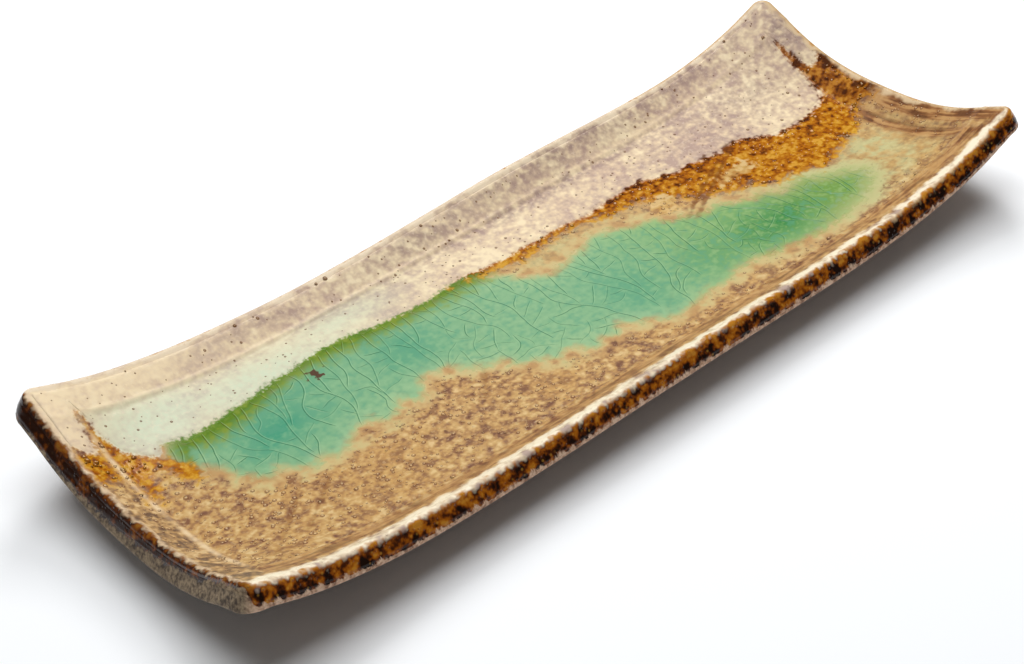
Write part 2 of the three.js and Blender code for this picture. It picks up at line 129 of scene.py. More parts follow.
@dataclass(frozen=True)
class PressedForm:
    """The slab's pressed form: a flat floor, corners that lift, and a flange that rises to the crest."""

    crest_half_length: float = 125.0
    crest_half_width: float = 45.0
    corner_radius: float = 3.6
    end_flange: float = 8.8
    side_flange: float = 9.2
    end_rise: float = 5.5
    side_rise: float = 5.2
    end_loss: float = 0.37
    side_loss: float = 0.21
    cut_tilt: float = math.radians(30)
    rounding: float = 1.4
    corner_lift: float = 9.8
    lift_along: float = 4.8
    lift_across: float = 2.3
    sag: float = 1.8
    frame_height: float = 10.9
    frame_thickness: float = 7.6
    side_thickness: float = 6.1
    end_thickness: float = 7.0
    crease_softness: float = 0.07
    most_rise: float = 1.2
    rear_waves: tuple[float, ...] = (0.15, -0.55, -0.25, 0.65)
    front_waves: tuple[float, ...] = (0.25, 0.3, -0.25, 0.1)
    ridge_height: float = 0.3
    ridge_width: float = 0.5
    ridge_loss: float = 0.8
    ridge_worn: Span = (98, 112)
    groove_depth: float = 0.2
    groove_aside: float = 1.3
    groove_width: float = 0.7
    stroke_depth: float = 0.16
    stroke_width: float = 0.75
    burr_height: float = 0.06
    burr_aside: float = 1.3
    burr_width: float = 0.6
    hand_wave: float = 0.07
    scored_strokes: tuple[Points, ...] = (
        ((-10, 18), (-38, -17)),
        ((-12, 18), (-30, -1)),
        ((80, 16), (54, 3.5), (33, -10)),
        ((79, 14), (49, -2), (26, -17), (13, -27)),
        ((-86.5, -9), (-108.6, -30)),
        ((-83, -14), (-97, -26)),
    )

    @property
    def frame_half_length(self) -> float:
        """Half length of the scored frame line."""
        return self.crest_half_length - self.end_flange

    @property
    def frame_half_width(self) -> float:
        """Half width of the scored frame line."""
        return self.crest_half_width - self.side_flange

    def _ramp(self, past: Array) -> Array:
        """Rise share over the flange, with the crease rounded: half of t + sqrt(t^2 + softness^2)."""
        softened = (past + np.sqrt(past * past + self.crease_softness**2)) / 2
        return np.minimum(softened, self.most_rise)

    def _wave(self, x: Array, y: Array) -> Array:
        """Sum of sines along each long rim, fading with the fourth power of y."""
        place = np.clip(x / self.crest_half_length, -1, 1) / 2 + 0.5
        rear, front = (
            sum(h * np.sin((k + 1) * np.pi * place) for k, h in enumerate(waves))
            for waves in (self.rear_waves, self.front_waves)
        )
        return np.where(y > 0, rear, front) * np.minimum(np.abs(y) / self.crest_half_width, 1) ** 4

    def _shares(self, x: Array, y: Array) -> tuple[Array, Array]:
        """Places as shares of the way from the middle to the frame line, 1 past it."""
        along = np.minimum(np.abs(x) / self.frame_half_length, 1)
        return along, np.minimum(np.abs(y) / self.frame_half_width, 1)

    def sheet(self, x: Array, y: Array) -> Array:
        """Height of the pressed sheet without sag: frame height, corner lift, flange rises and rim wave."""
        along, across = self._shares(x, y)
        end = self._ramp((np.abs(x) - self.frame_half_length) / self.end_flange)
        side = self._ramp((np.abs(y) - self.frame_half_width) / self.side_flange)
        lift = self.corner_lift * along**self.lift_along * across**self.lift_across
        rise = self.end_rise * (1 - self.end_loss * across**2) * end
        rise += self.side_rise * (1 - self.side_loss * along**4) * side
        return self.frame_height + lift + rise + self._wave(x, y)

    def crease_offset(self, x: Array, y: Array) -> Array:
        """Signed distance past the nearest frame line: negative on the floor, positive on the flange."""
        return np.maximum(np.abs(x) - self.frame_half_length, np.abs(y) - self.frame_half_width)

    def stroke_distance(self, x: Array, y: Array) -> Array:
        """Plan distance to the nearest scored stroke."""
        return np.minimum.reduce([distance_to_line(x, y, points) for points in self.scored_strokes])

    def _relief(self, x: Array, y: Array, scoring: float) -> Array:
        """Ridge on the frame line, groove inside it, scored strokes with a burr, and slow hand waves."""
        past = self.crease_offset(x, y)
        ridge = self.ridge_height * np.exp(-((past / self.ridge_width) ** 2))
        ridge *= 1 - self.ridge_loss * smooth_step(x, *self.ridge_worn)
        groove = -self.groove_depth * np.exp(-(((past + self.groove_aside) / self.groove_width) ** 2))
        stroke = self.stroke_distance(x, y)
        burr = np.exp(-(((stroke - self.burr_aside) / self.burr_width) ** 2))
        cut = np.exp(-((stroke / self.stroke_width) ** 2))
        scored = scoring * (self.burr_height * burr - self.stroke_depth * cut)
        waves = np.sin(x / 7.1 + 0.9 * np.sin(y / 9.3)) * np.sin(y / 6.3 + 1.1 * np.sin(x / 11.7))
        return ridge + groove + scored + self.hand_wave * waves

    def face(self, x: Array, y: Array, scoring: float = 1.0) -> Array:
        """Height of the glazed top face: the sheet, the sag (1 - u^2)(1 - v^2) and the relief.

        Args:
            x: Plan places along the plate.
            y: Plan places across the plate.
            scoring: Share of the scored strokes' depth that a glaze leaves open.

        Returns:
            Heights, of the shape of x.
        """
        along, across = self._shares(x, y)
        sag = self.sag * (1 - along**2) * (1 - across**2)
        return self.sheet(x, y) - sag + self._relief(x, y, scoring)

    def thickness(self, out_x: Array, out_y: Array) -> Array:
        """Thickness of the cut edge for an outward plan direction."""
        return self.side_thickness * out_y**2 + self.end_thickness * out_x**2


@dataclass(frozen=True)
class PlanGrid:
    """Grid of plan places inside the crest, with round corners, and outward directions at its edge."""

    form: PressedForm
    floor_step: float
    flange_step: float
    lower_stride: int = 6
    dense_before: float = 3.0
    dense_after: float = 2.0
    rise_stretch: float = 1.4

    def _lines(self, frame_line: float, edge: float, radius: float) -> Array:
        """Distances of grid lines from one edge to the other, dense at the frame line and the corner."""
        stops = [0, frame_line - self.dense_before, frame_line + self.dense_after, edge - radius, edge]
        rise_step = self.flange_step * self.rise_stretch
        steps = [self.floor_step, self.flange_step, rise_step, self.flange_step]
        half = [
            np.linspace(a, b, max(int(math.ceil((b - a) / step)), 2), endpoint=False)
            for a, b, step in zip(stops[:-1], stops[1:], steps)
        ]
        line = np.append(np.concatenate(half), edge)
        surplus = (len(line) - 1) % self.lower_stride
        if surplus:
            extra = np.linspace(line[0], line[1], self.lower_stride - surplus + 2)[1:-1]
            line = np.sort(np.concatenate([line, extra]))
        return np.concatenate([-line[:0:-1], line])

    def places(self) -> tuple[Array, Array, Array, Array]:
        """Plan places and outward directions.

        Each corner square of side r is drawn in to a round arc by the map
        (p, q) to (p sqrt(1 - q^2 / 2), q sqrt(1 - p^2 / 2)), with p and q in shares of r.

        Returns:
            Arrays x, y, outward x and outward y, each with a row for a line along the plate.
        """
        form = self.form
        inset = form.rounding * math.cos(form.cut_tilt)
        half_length = form.crest_half_length - inset
        half_width = form.crest_half_width - inset
        radius = form.corner_radius - inset
        line_x = self._lines(form.frame_half_length, half_length, radius)
        line_y = self._lines(form.frame_half_width, half_width, radius)
        x, y = np.meshgrid(line_x, line_y, indexing="ij")
        p = np.maximum(np.abs(x) - (half_length - radius), 0) / radius
        q = np.maximum(np.abs(y) - (half_width - radius), 0) / radius
        along = p * np.sqrt(1 - q * q / 2)
        across = q * np.sqrt(1 - p * p / 2)
        length = np.maximum(np.hypot(along, across), TINY)
        placed_x = np.sign(x) * (np.abs(x) + (along - p) * radius)
        placed_y = np.sign(y) * (np.abs(y) + (across - q) * radius)
        return placed_x, placed_y, np.sign(x) * along / length, np.sign(y) * across / length


def write_field(mesh: bpy.types.Mesh, name: str, values: Array) -> None:
    """Writes one number for each point of a mesh, which its material reads by name."""
    mesh.attributes.new(name, "FLOAT", "POINT").data.foreach_set("value", values.astype(np.float32))


def place_in_scene(name: str, data: bpy.types.ID) -> bpy.types.Object:
    """Puts a mesh, lamp or camera into the scene as an object."""
    placed = bpy.data.objects.new(name, data)
    bpy.context.scene.collection.objects.link(placed)
    return placed


def edge_loop(values: Array) -> Array:
    """Values round the edge of a grid, counter-clockwise from its first corner."""
    return np.concatenate([values[:-1, 0], values[-1, :-1], values[:0:-1, -1], values[0, :0:-1]])


@dataclass
class Skin:
    """One closed surface under construction: points, faces, and how far past the crest each point is."""

    points: list[Array] = field(default_factory=list)
    drops: list[Array] = field(default_factory=list)
    faces: list[Array] = field(default_factory=list)
    count: int = 0

    def add(self, x: Array, y: Array, z: Array, drop: Array | float = 0.0) -> Array:
        """Adds points.

        Args:
            x: Places along the plate.
            y: Places across the plate.
            z: Heights.
            drop: Way past the crest along the surface, negative on the top face.

        Returns:
            Their indices, in the shape of x.
        """
        self.points.append(np.stack([x, y, z], axis=-1).reshape(-1, 3))
        self.drops.append(np.broadcast_to(np.asarray(drop, float), x.shape).reshape(-1))
        index = self.count + np.arange(x.size).reshape(x.shape)
        self.count += x.size
        return index

    def grid(self, index: Array, downwards: bool = False) -> None:
        """Faces over a grid of indices, one per cell, turned up or down."""
        corners = [index[:-1, :-1], index[1:, :-1], index[1:, 1:], index[:-1, 1:]]
        if downwards:
            corners.reverse()
        self.faces.append(np.stack([c.reshape(-1) for c in corners], axis=-1))

    def strip(self, upper: Array, lower: Array) -> None:
        """Faces between two loops of as many points, the lower one outside or below the upper one."""
        corners = [lower, np.roll(lower, -1), np.roll(upper, -1), upper]
        self.faces.append(np.stack(corners, axis=-1))

    def wall(self, upper: Array, loops: list[tuple[Array, ...]]) -> Array:
        """Adds loops of points, each below the last and joined to it, and gives the lowest one's indices."""
        for places in loops:
            lower = self.add(*places)
            self.strip(upper, lower)
            upper = lower
        return upper

    def fan_strip(self, upper: Array, lower: Array) -> None:
        """Faces from a dense upper loop to a coarse lower loop of a whole share of its points."""
        stride = len(upper) // len(lower)
        start = np.repeat(lower, stride)
        self.faces.append(np.stack([start, np.roll(upper, -1), upper], axis=-1))
        self.faces.append(np.stack([lower, np.roll(lower, -1), np.roll(upper[::stride], -1)], axis=-1))

    def mesh(self, name: str) -> bpy.types.Mesh:
        """Makes the smooth-shaded mesh, in metres, with the drop as a point attribute."""
        mesh = bpy.data.meshes.new(name)
        faces = [face for block in self.faces for face in block.tolist()]
        mesh.from_pydata((np.concatenate(self.points) * MM).tolist(), [], faces)
        mesh.polygons.foreach_set("use_smooth", np.ones(len(mesh.polygons), bool))
        write_field(mesh, "drop", np.concatenate(self.drops))
        mesh.update()
        return mesh


@dataclass(frozen=True)
class RimSection:
    """Section of the rim: a rounded crest that turns from the top face into the tilted cut edge."""

    form: PressedForm
    x: Array
    y: Array
    z: Array
    out_x: Array
    out_y: Array
    slope: Array

    @classmethod
    def around(cls, form: PressedForm, x: Array, y: Array, out_x: Array, out_y: Array) -> "RimSection":
        """Section at each place of a loop round the top face, with the face's own outward slope there."""
        step = 0.2
        z = form.face(x, y)
        inner = form.face(x - out_x * step, y - out_y * step)
        return cls(form, x, y, z, out_x, out_y, np.arctan((z - inner) / step))

    @property
    def rounding_length(self) -> Array:
        """Way along the rounded crest from the top face to the cut edge."""
        return self.form.rounding * (self.slope - self.form.cut_tilt + math.pi / 2)

    @property
    def full_length(self) -> Array:
        """Way from the top face over the crest to the lower edge of the cut."""
        deep = self.form.thickness(self.out_x, self.out_y) - self.form.rounding
        return self.rounding_length + deep

    def point(self, way: Array, inset: float | Array) -> tuple[Array, Array, Array, Array]:
        """Points at a way along the outer face, so far inside it.

        On the crest the tangent turns evenly from the face's slope to the cut edge, so the outer face is
        radius (sin slope - sin angle) out and radius (cos angle - cos slope) up, and on the cut edge it
        runs straight on.

        Args:
            way: Way along the outer face from the top face.
            inset: Distance inside the outer face.

        Returns:
            x, y, z and the way.
        """
        radius = self.form.rounding
        last = self.form.cut_tilt - math.pi / 2
        angle = np.maximum(self.slope - way / radius, last)
        straight = np.maximum(way - self.rounding_length, 0)
        out = radius * (np.sin(self.slope) - np.sin(angle)) + straight * math.cos(last)
        up = radius * (np.cos(angle) - np.cos(self.slope)) + straight * math.sin(last)
        out = out + inset * np.sin(angle)
        up = up - inset * np.cos(angle)
        return self.x + self.out_x * out, self.y + self.out_y * out, self.z + up, way


@dataclass(frozen=True)
class RimMap:
    """Fields of the crest and the cut edge, which change from side to side."""

    half_length: float = PressedForm.crest_half_length - CREST_INSET
    half_width: float = PressedForm.crest_half_width - CREST_INSET
    blend: float = 1.5
    # For the rear, front, left and right side: how far the pale crest band reaches, partly a painted
    # highlight, and where the iron starts
    cream_reach: tuple[float, float, float, float] = (0.5, 2.2, 0.0, 0.3)
    iron_start: tuple[float, float, float, float] = (2.0, 1.5, 0.9, 2.0)
    iron_end: float = 5.8
    left_band: Points = ((-46, 1.7), (-43, 1.9), (-35, 2.4), (-20, 3.5), (0, 4.8), (20, 6.0), (45, 6.8))

    # Where each band of colour starts and is full, along or across the plate, and how wide it is
    narrow_from: Span = (-20, 30)
    narrow_reach: float = 0.4
    narrow_start: float = 0.25
    grey_end: Span = (115.5, 118.5)
    grey_front: Span = (8, 17)
    brown_end: Span = (118.6, 120.4)
    brown_front: Span = (-6, 8)
    brown_line: float = 115.9
    brown_line_front: Span = (0, 8)
    brown_rim_line: float = 38.4
    brown_rim_share: float = 0.75
    brown_width: float = 2.3
    frame_line: Span = (116.2, 35.8)
    frame_end: float = 117.0
    # The ridge field is a painted highlight along the top of the frame ridge: its offset, width, and where it
    # fades in at the front, fades out at the right end and weakens at the rear
    ridge_aside: float = 0.3
    ridge_width: float = 0.75
    ridge_front: Span = (-34.5, -30)
    ridge_end: Span = (95, 110)
    ridge_rear: Span = (25, 33)
    ridge_rear_loss: float = 0.5
    stroke_turn: float = 10.0
    faint_stroke: float = 0.5
    fade_from: Span = (60, 86)
    lean_from: Span = (10, 58)
    dusk_from: Span = (114.5, 118.5)

    FIELDS = (
        "crest_reach", "iron_start", "iron_end", "iron_dark", "far_end", "rear", "grey", "brown", "ridge",
        "stroke_tint", "fade", "lean", "dusk",
    )

    def crest_offset(self, x: Array, y: Array) -> Array:
        """Signed distance past the start of the crest, negative on the top face."""
        return np.maximum(np.abs(x) - self.half_length, np.abs(y) - self.half_width)

    def _sides(self, x: Array, y: Array) -> tuple[Array, Array, Array, Array]:
        """Weights of the rear, front, left and right side at each place, which sum to 1."""
        end = np.abs(x) - self.half_length
        side = np.abs(y) - self.half_width
        long_side = smooth_step(side - end, -self.blend, self.blend)
        return (
            long_side * (y > 0), long_side * (y <= 0), (1 - long_side) * (x < 0), (1 - long_side) * (x >= 0),
        )

    def fields(self, x: Array, y: Array) -> dict[str, Array]:
        """Named fields of the rim's finishes, in millimetres or as weights from 0 to 1.

        Args:
            x: Plan places along the plate.
            y: Plan places across the plate.

        Returns:
            One array for each field name.
        """
        sides = self._sides(x, y)
        left = sides[2]
        narrow = sides[1] * smooth_step(x, *self.narrow_from)
        reach = sum(w * v for w, v in zip(sides, self.cream_reach)) - self.narrow_reach * narrow
        start = sum(w * v for w, v in zip(sides, self.iron_start)) - self.narrow_start * narrow
        band = height_of_line(y, self.left_band)
        grey = smooth_step(-x, *self.grey_end) * (1 - smooth_step(y, *self.grey_front))
        brown = smooth_step(x, *self.brown_end) * (1 - smooth_step(y, *self.brown_front))
        inner = np.exp(-(((x - self.brown_line) / self.brown_width) ** 2))
        inner *= 1 - smooth_step(y, *self.brown_line_front)
        frame_x, frame_y = self.frame_line
        front = np.exp(-(((y + self.brown_rim_line) / self.brown_width) ** 4)) * (np.abs(x) < self.frame_end)
        past = np.maximum(np.abs(x) - frame_x, np.abs(y) - frame_y)
        # Painted highlight along the top of the frame ridge
        ridge = np.exp(-((past - self.ridge_aside) / self.ridge_width) ** 2)
        ridge *= smooth_step(y, *self.ridge_front)
        worn = self.ridge_rear_loss * smooth_step(y, *self.ridge_rear)
        ridge *= (1 - smooth_step(x, *self.ridge_end)) * (1 - worn)
        return {
            "crest_reach": reach,
            "iron_start": start,
            "iron_end": band * left + self.iron_end * (1 - left),
            "iron_dark": left,
            "far_end": sides[3],
            "rear": sides[0],
            "grey": grey,
            "brown": np.maximum(np.maximum(brown, inner), self.brown_rim_share * front),
            "ridge": ridge,
            "stroke_tint": np.where(x > self.stroke_turn, 1.0, self.faint_stroke),
            "fade": smooth_step(x, *self.fade_from),
            "lean": smooth_step(x, *self.lean_from),
            "dusk": smooth_step(x, *self.dusk_from),
        }


@dataclass(frozen=True)
class GlazeMap:
    """Where each glaze lies in plan, as drawn lines, and the fields that the finishes read."""

    meeting: Points = (
        (-127, 27.5), (-124, 28), (-122, 27.5), (-120.5, 25.5), (-118.5, 25), (-117.4, 29), (-116.9, 36.4),
        (-115.7, 36.3), (-115, 33.5), (-115, 30), (-113.6, 26.5), (-112.8, 23.6), (-110.5, 21.8),
        (-108.5, 19.6), (-106.6, 18.6), (-105.3, 18.6), (-104.4, 21.6), *SHARED_EDGE, (-10, 23), (-4, 21.8),
        (3, 21), (9, 21.4), (15, 21), (22, 21.2), (30, 19.8), (38, 20.7), (47, 21.3), (53, 20.8), (57, 19),
        (61, 17), (66, 17.6), (70, 16), (76, 15.3), (81, 15.8), (84.5, 15.2), (88, 12.4), (92, 10.5),
        (98, 9.1), (106, 9.5), (109, 10.7), (113, 11.6), (115.6, 14), (116.5, 20), (116.7, 29), (117.2, 33.5),
        (118, 33), (118.6, 27), (119.5, 21.8), (121.5, 20.6), (123.2, 22.5), (127, 26),
    )
    pool_rear: Points = (
        (-106, 14), (-105.8, 18.4), (-104, 21), *SHARED_EDGE, (-10, 22.4), (-7, 19), (-4.5, 18), (-2, 16),
        (0, 13.4), (3, 11), (6.5, 9), (10, 9.3), (17, 10.4), (21, 12), (25, 13), (28, 11.6), (31, 11.6),
        (35, 9), (42, 6.5), (45, 3.2), (50, 0.8), (54, -1.2), (58, -0.8), (62, -4), (66, -6), (70, -5.7),
        (73, -9.2), (78, -8.3), (82, -8), (87, -12.5), (92, -15), (96, -19), (97, -22),
    )
    pool_front: Points = (
        (-106, 14), (-103.5, 10.5), (-101, 7.8), (-98.5, 5.5), (-97, 1), (-94, -2.5), (-91.5, -5.3),
        (-89.5, -4.2), (-88, -2.6), (-86, -5.5), (-83.5, -8), (-80.5, -8.4), (-79.3, -7), (-76, -9.3),
        (-72, -8.6), (-69, -7), (-66.5, -4.3), (-63.5, -4.4), (-60, -7.6), (-56.5, -7.6), (-52.8, -4),
        (-49.5, -7.3), (-47, -6), (-45.5, -2.6), (-41.5, -0.6), (-37.5, -2.2), (-34, -6), (-30, -9),
        (-26.5, -10), (-24, -14.4), (-19, -17), (-15.6, -20), (-12.5, -18.2), (-10.5, -19), (-8, -22.5),
        (-5.8, -23.8), (-3.5, -21.6), (0, -23.4), (4, -20.6), (8, -23.6), (12, -27), (15, -29.2),
        (22, -29), (30, -27.4), (36, -27.2), (40, -26), (43, -27), (46, -25.6), (50, -28.3), (58, -30),
        (66, -31.6), (78, -31.2), (86, -30.6), (92, -27.5), (97, -22),
    )
    olive_front: Points = (
        (-107, 12.5), (-103, 13), (-99, 15.2), (-93, 15), (-87, 15.6), (-80, 17.2), (-74, 18.8), (-68, 20.6),
        (-60, 21.2), (-52, 20.8), (-45, 19.8), (-36, 19.2), (-25, 18.8), (-16, 18.7), (-8, 18.6), (-4, 19.6),
    )
    amber_front: Points = (
        (-14, 22.6), (-10, 21.6), (-5, 19.6), (0, 19.2), (5, 17.6), (10, 17.8), (15, 18.6), (20, 18.8),
        (26, 18.2), (31, 17), (35, 15.2), (40, 15.2), (45, 14), (49, 10), (53, 7.6), (57, 4), (61, 2.4),
        (66, -0.6), (71, -2.4), (75, -6.2), (81, -7), (86, -9), (90, -12), (94, -10.8), (98, -8.4),
        (106, -6.2), (111, -4.6), (114, -1), (118, 2), (121, 0.6), (127, -1),
    )
    amber_streaks: tuple[tuple[Points, float], ...] = (
        (((-115.2, 30), (-114.6, 24), (-112.5, 20.4), (-109, 18.3), (-106.8, 16.2), (-105.2, 12.6),
          (-103.4, 9.6)), 2.6),
        (((-116.6, 36), (-115.3, 35), (-115, 31), (-115.7, 24), (-116, 8)), 0.55),
        (((-16, 21.8), (-8, 21.7)), 0.3),
    )
    amber_patches: Ellipses = ((-121.5, 20.5, 4.5, 5.2), (-113.6, 19, 3.6, 6), (-113.6, 12, 2.2, 4))
    amber_under: float = 3.0
    amber_outside: float = -9.0
    olive_least: float = 0.5
    olive_taper: float = 0.8
    olive_lag: float = 3.0
    mint_loss: float = 0.85
    mint_crease: Span = (-1, 1.5)

    # Soft elliptic hills of colour: middle x and y, half length, half width and height
    HILLS = {
        "teal": (
            (-81, 8, 15, 11, 1.0), (-66, 17, 13, 6, 0.55), (-40, 11, 11, 9, 0.75), (16, -11, 10, 14, 0.5),
            (38, -17, 12, 9, 0.45), (62, -18, 14, 9, 1.0), (83, -13, 8, 5, 0.35),
        ),
        "mint": (
            (-101, 28, 22, 12, 1.0), (-73, 26, 34, 9.5, 1.0), (-46, 31, 20, 7, 0.75), (-92, 38, 26, 8, 0.5),
        ),
        "milk": ((-121, 36, 6, 12, 1.0), (-98, 41, 34, 4.5, 0.8), (2, 41.5, 16, 3, 0.5)),
        "mauve_and_ridge_shade": (
            # The narrow band at y 34.4 is painted shade beside the rear frame ridge, on the floor side, as
            # well as thin mauve glaze
            (60, 42.5, 85, 4.2, 0.95), (34, 34.4, 72, 2.3, 0.95), (96, 27, 34, 12, 0.62),
            (122, 34, 4.5, 12, 1.0), (-55, 41.5, 26, 3.4, 0.55), (-12, 40.5, 26, 4, 0.8),
        ),
        "pale": (
            (104, -15, 15, 10, 1.0), (100, -26, 20, 7, 0.8), (18, 14, 24, 4.5, 0.75), (57, -1, 12, 3.2, 0.5),
            (74, -31.5, 26, 2.6, 0.6),
        ),
    }

    # Patches with an outline: middle x and y, half length and half width
    PATCHES = {
        "peach": ((71.5, 5.2, 7, 2.9), (-109.2, 12.0, 2.2, 2.6), (48, 8, 5, 3.4)),
        "blotch": ((-62.2, 18.4, 2.1, 1.2),),
    }

    FIELDS = ("cream", "pool", "amber", "olive", "stroke", *HILLS, *PATCHES)

    def _hills(self, x: Array, y: Array, hills: Hills) -> Array:
        """Highest of some soft elliptic hills."""
        return np.maximum.reduce([
            top * np.exp(-(((x - cx) / rx) ** 2 + ((y - cy) / ry) ** 2)) for cx, cy, rx, ry, top in hills
        ])

    def _patches(self, x: Array, y: Array, patches: Ellipses) -> Array:
        """Rough distance into the nearest of some elliptic patches."""
        return np.maximum.reduce([
            (1 - np.hypot((x - cx) / rx, (y - cy) / ry)) * min(rx, ry) for cx, cy, rx, ry in patches
        ])

    def _between(self, x: Array, y: Array, rear: Points, front: Points) -> Array:
        """Signed distance inside the space between two lines, negative outside."""
        nearest = np.minimum(distance_to_line(x, y, rear), distance_to_line(x, y, front))
        within = (y < height_of_line(x, rear)) & (y > height_of_line(x, front))
        within &= (x > max(rear[0][0], front[0][0])) & (x < min(rear[-1][0], front[-1][0]))
        return np.where(within, nearest, -nearest)

    def cream(self, x: Array, y: Array) -> Array:
        """Signed distance into the cream glaze, behind the meeting line."""
        nearest = distance_to_line(x, y, self.meeting)
        return np.where(y > height_of_line(x, self.meeting), nearest, -nearest)

    def pool(self, x: Array, y: Array) -> Array:
        """Signed distance into the green pool."""
        return self._between(x, y, self.pool_rear, self.pool_front)

    def amber(self, x: Array, y: Array, under: float = 0.0) -> Array:
        """Signed distance into the amber glaze: the run at the right, and streaks and patches.

        Args:
            x: Plan places along the plate.
            y: Plan places across the plate.
            under: How far the run goes on under the cream.

        Returns:
            Distances, of the shape of x.
        """
        nearest = distance_to_line(x, y, self.amber_front)
        run = np.where(y > height_of_line(x, self.amber_front), nearest, -nearest)
        run = np.minimum(run, under - self.cream(x, y))
        parts = [np.where(x > self.amber_front[0][0], run, self.amber_outside)]
        parts += [half - distance_to_line(x, y, points) for points, half in self.amber_streaks]
        parts.append(self._patches(x, y, self.amber_patches))
        return np.maximum.reduce(parts)

    def fields(self, x: Array, y: Array, form: PressedForm) -> dict[str, Array]:
        """Named fields of the finishes, in millimetres or as weights from 0 to 1.

        Args:
            x: Plan places along the plate.
            y: Plan places across the plate.
            form: The pressed form, for its creases and strokes.

        Returns:
            One array for each field name.
        """
        cream = self.cream(x, y)
        wide = height_of_line(x, self.meeting) - height_of_line(x, self.olive_front)
        first, last = self.olive_front[0][0], self.olive_front[-1][0]
        ends = np.minimum(self.olive_taper * (x - first) - self.olive_lag, last - x)
        olive = np.minimum(np.maximum(wide, self.olive_least) + cream, ends)
        found = {
            "cream": cream,
            "pool": self.pool(x, y),
            "amber": self.amber(x, y, self.amber_under),
            "olive": olive,
            "stroke": form.stroke_distance(x, y),
        }
        for name, hills in self.HILLS.items():
            found[name] = self._hills(x, y, hills)
        for name, patches in self.PATCHES.items():
            found[name] = self._patches(x, y, patches)
        found["mint"] *= 1 - self.mint_loss * smooth_step(form.crease_offset(x, y), *self.mint_crease)
        return found


class Clay(Enum):
    """Names of the plate's materials, which the finishes take."""

    BODY = "bare_stoneware"
    FOOT = "foot_stoneware"
    ASH = "ash_glaze"
    CREAM = "cream_glaze"
    GREEN = "green_glass"
    AMBER = "amber_glaze"
    IRON = "iron_glaze"


class Finish:
    """Node tree of one material: one small method adds any node, the others combine masks and colours."""

    def __init__(self, name: str) -> None:
        """Starts a material with an output and a Principled shader."""
        self.material = bpy.data.materials.new(name)
        self.material.use_nodes = True
        self.tree = self.material.node_tree
        self.shader = self.tree.nodes["Principled BSDF"]

    def add(
        self,
        kind: str,
        inputs: dict | None = None,
        out: int | str = 0,
        stops: tuple[tuple[float, str], ...] = (),
        **settings: object,
    ) -> Socket:
        """Adds a node with its settings, values and links.

        Args:
            kind: The node's type name without its ShaderNode prefix.
            inputs: Value or socket for each input, by its index or name.
            out: Index or name of the output to give back.
            stops: Places and hex colours, for a node with a colour ramp.
            **settings: Properties of the node.

        Returns:
            The chosen output socket.
        """
        node = self.tree.nodes.new("ShaderNode" + kind)
        for key, value in settings.items():
            setattr(node, key, value)
        for k, (place, hex_colour) in enumerate(stops):
            elements = node.color_ramp.elements
            element = elements[k] if k < len(elements) else elements.new(place)
            element.position = place
            element.color = linear(hex_colour)
        self._fill(node, inputs or {})
        return node.outputs[out]

    def shade(self, inputs: dict) -> None:
        """Gives the Principled shader its values and links."""
        self._fill(self.shader, inputs)

    def _fill(self, node: bpy.types.Node, inputs: dict) -> None:
        """Sets or links each input of a node."""
        for key, value in inputs.items():
            if isinstance(value, Socket):
                self.tree.links.new(value, node.inputs[key])
            else:
                node.inputs[key].default_value = linear(value) if isinstance(value, str) else value

    def edge_mask(
        self, distance: Socket, raggedness: Socket, reach: float, low: float, high: float
    ) -> Socket:
        """Soft mask of where a distance, moved by a noise about its middle, passes from low to high."""
        centred = self.add("Math", {0: raggedness, 1: 0.5}, operation="SUBTRACT")
        moved = self.add("Math", {0: centred, 1: reach, 2: distance}, operation="MULTIPLY_ADD")
        limits = {0: moved, 1: low, 2: high}
        return self.add("MapRange", limits, interpolation_type="SMOOTHSTEP")

    def both(self, *masks: Socket | float) -> Socket:
        """Product of masks."""
        product = masks[0]
        for mask in masks[1:]:
            product = self.add("Math", {0: product, 1: mask}, operation="MULTIPLY")
        return product

    def layers(self, base: Socket | str, coats: list[tuple[Socket | str, Socket | float]]) -> Socket:
        """Colour of a base with coats laid over it in order, each a colour with its mask."""
        for colour, mask in coats:
            base = self.add("Mix", {0: mask, 6: base, 7: colour}, out=2, data_type="RGBA")
        return base

    def levels(self, base: Socket | float, coats: list[tuple[Socket | float, Socket | float]]) -> Socket:
        """Value of a base with coats laid over it in order, each a value with its mask."""
        for value, mask in coats:
            base = self.add("Mix", {0: mask, 2: base, 3: value})
        return base


def per(size: float) -> float:
    """Texture scale in Object coordinates for features of a size in millimetres."""
    return 1 / (size * MM)


@dataclass(frozen=True)
class Hue:
    """Colour of one glaze: a ramp over a named value, or one plain colour, with coats laid over it.

    Each coat is a hex colour or the name of an earlier hue, then the values whose product is its mask.
    """

    base: str | tuple[tuple[float, str], ...]
    over: str = ""
    coats: tuple[tuple[str | float, ...], ...] = ()


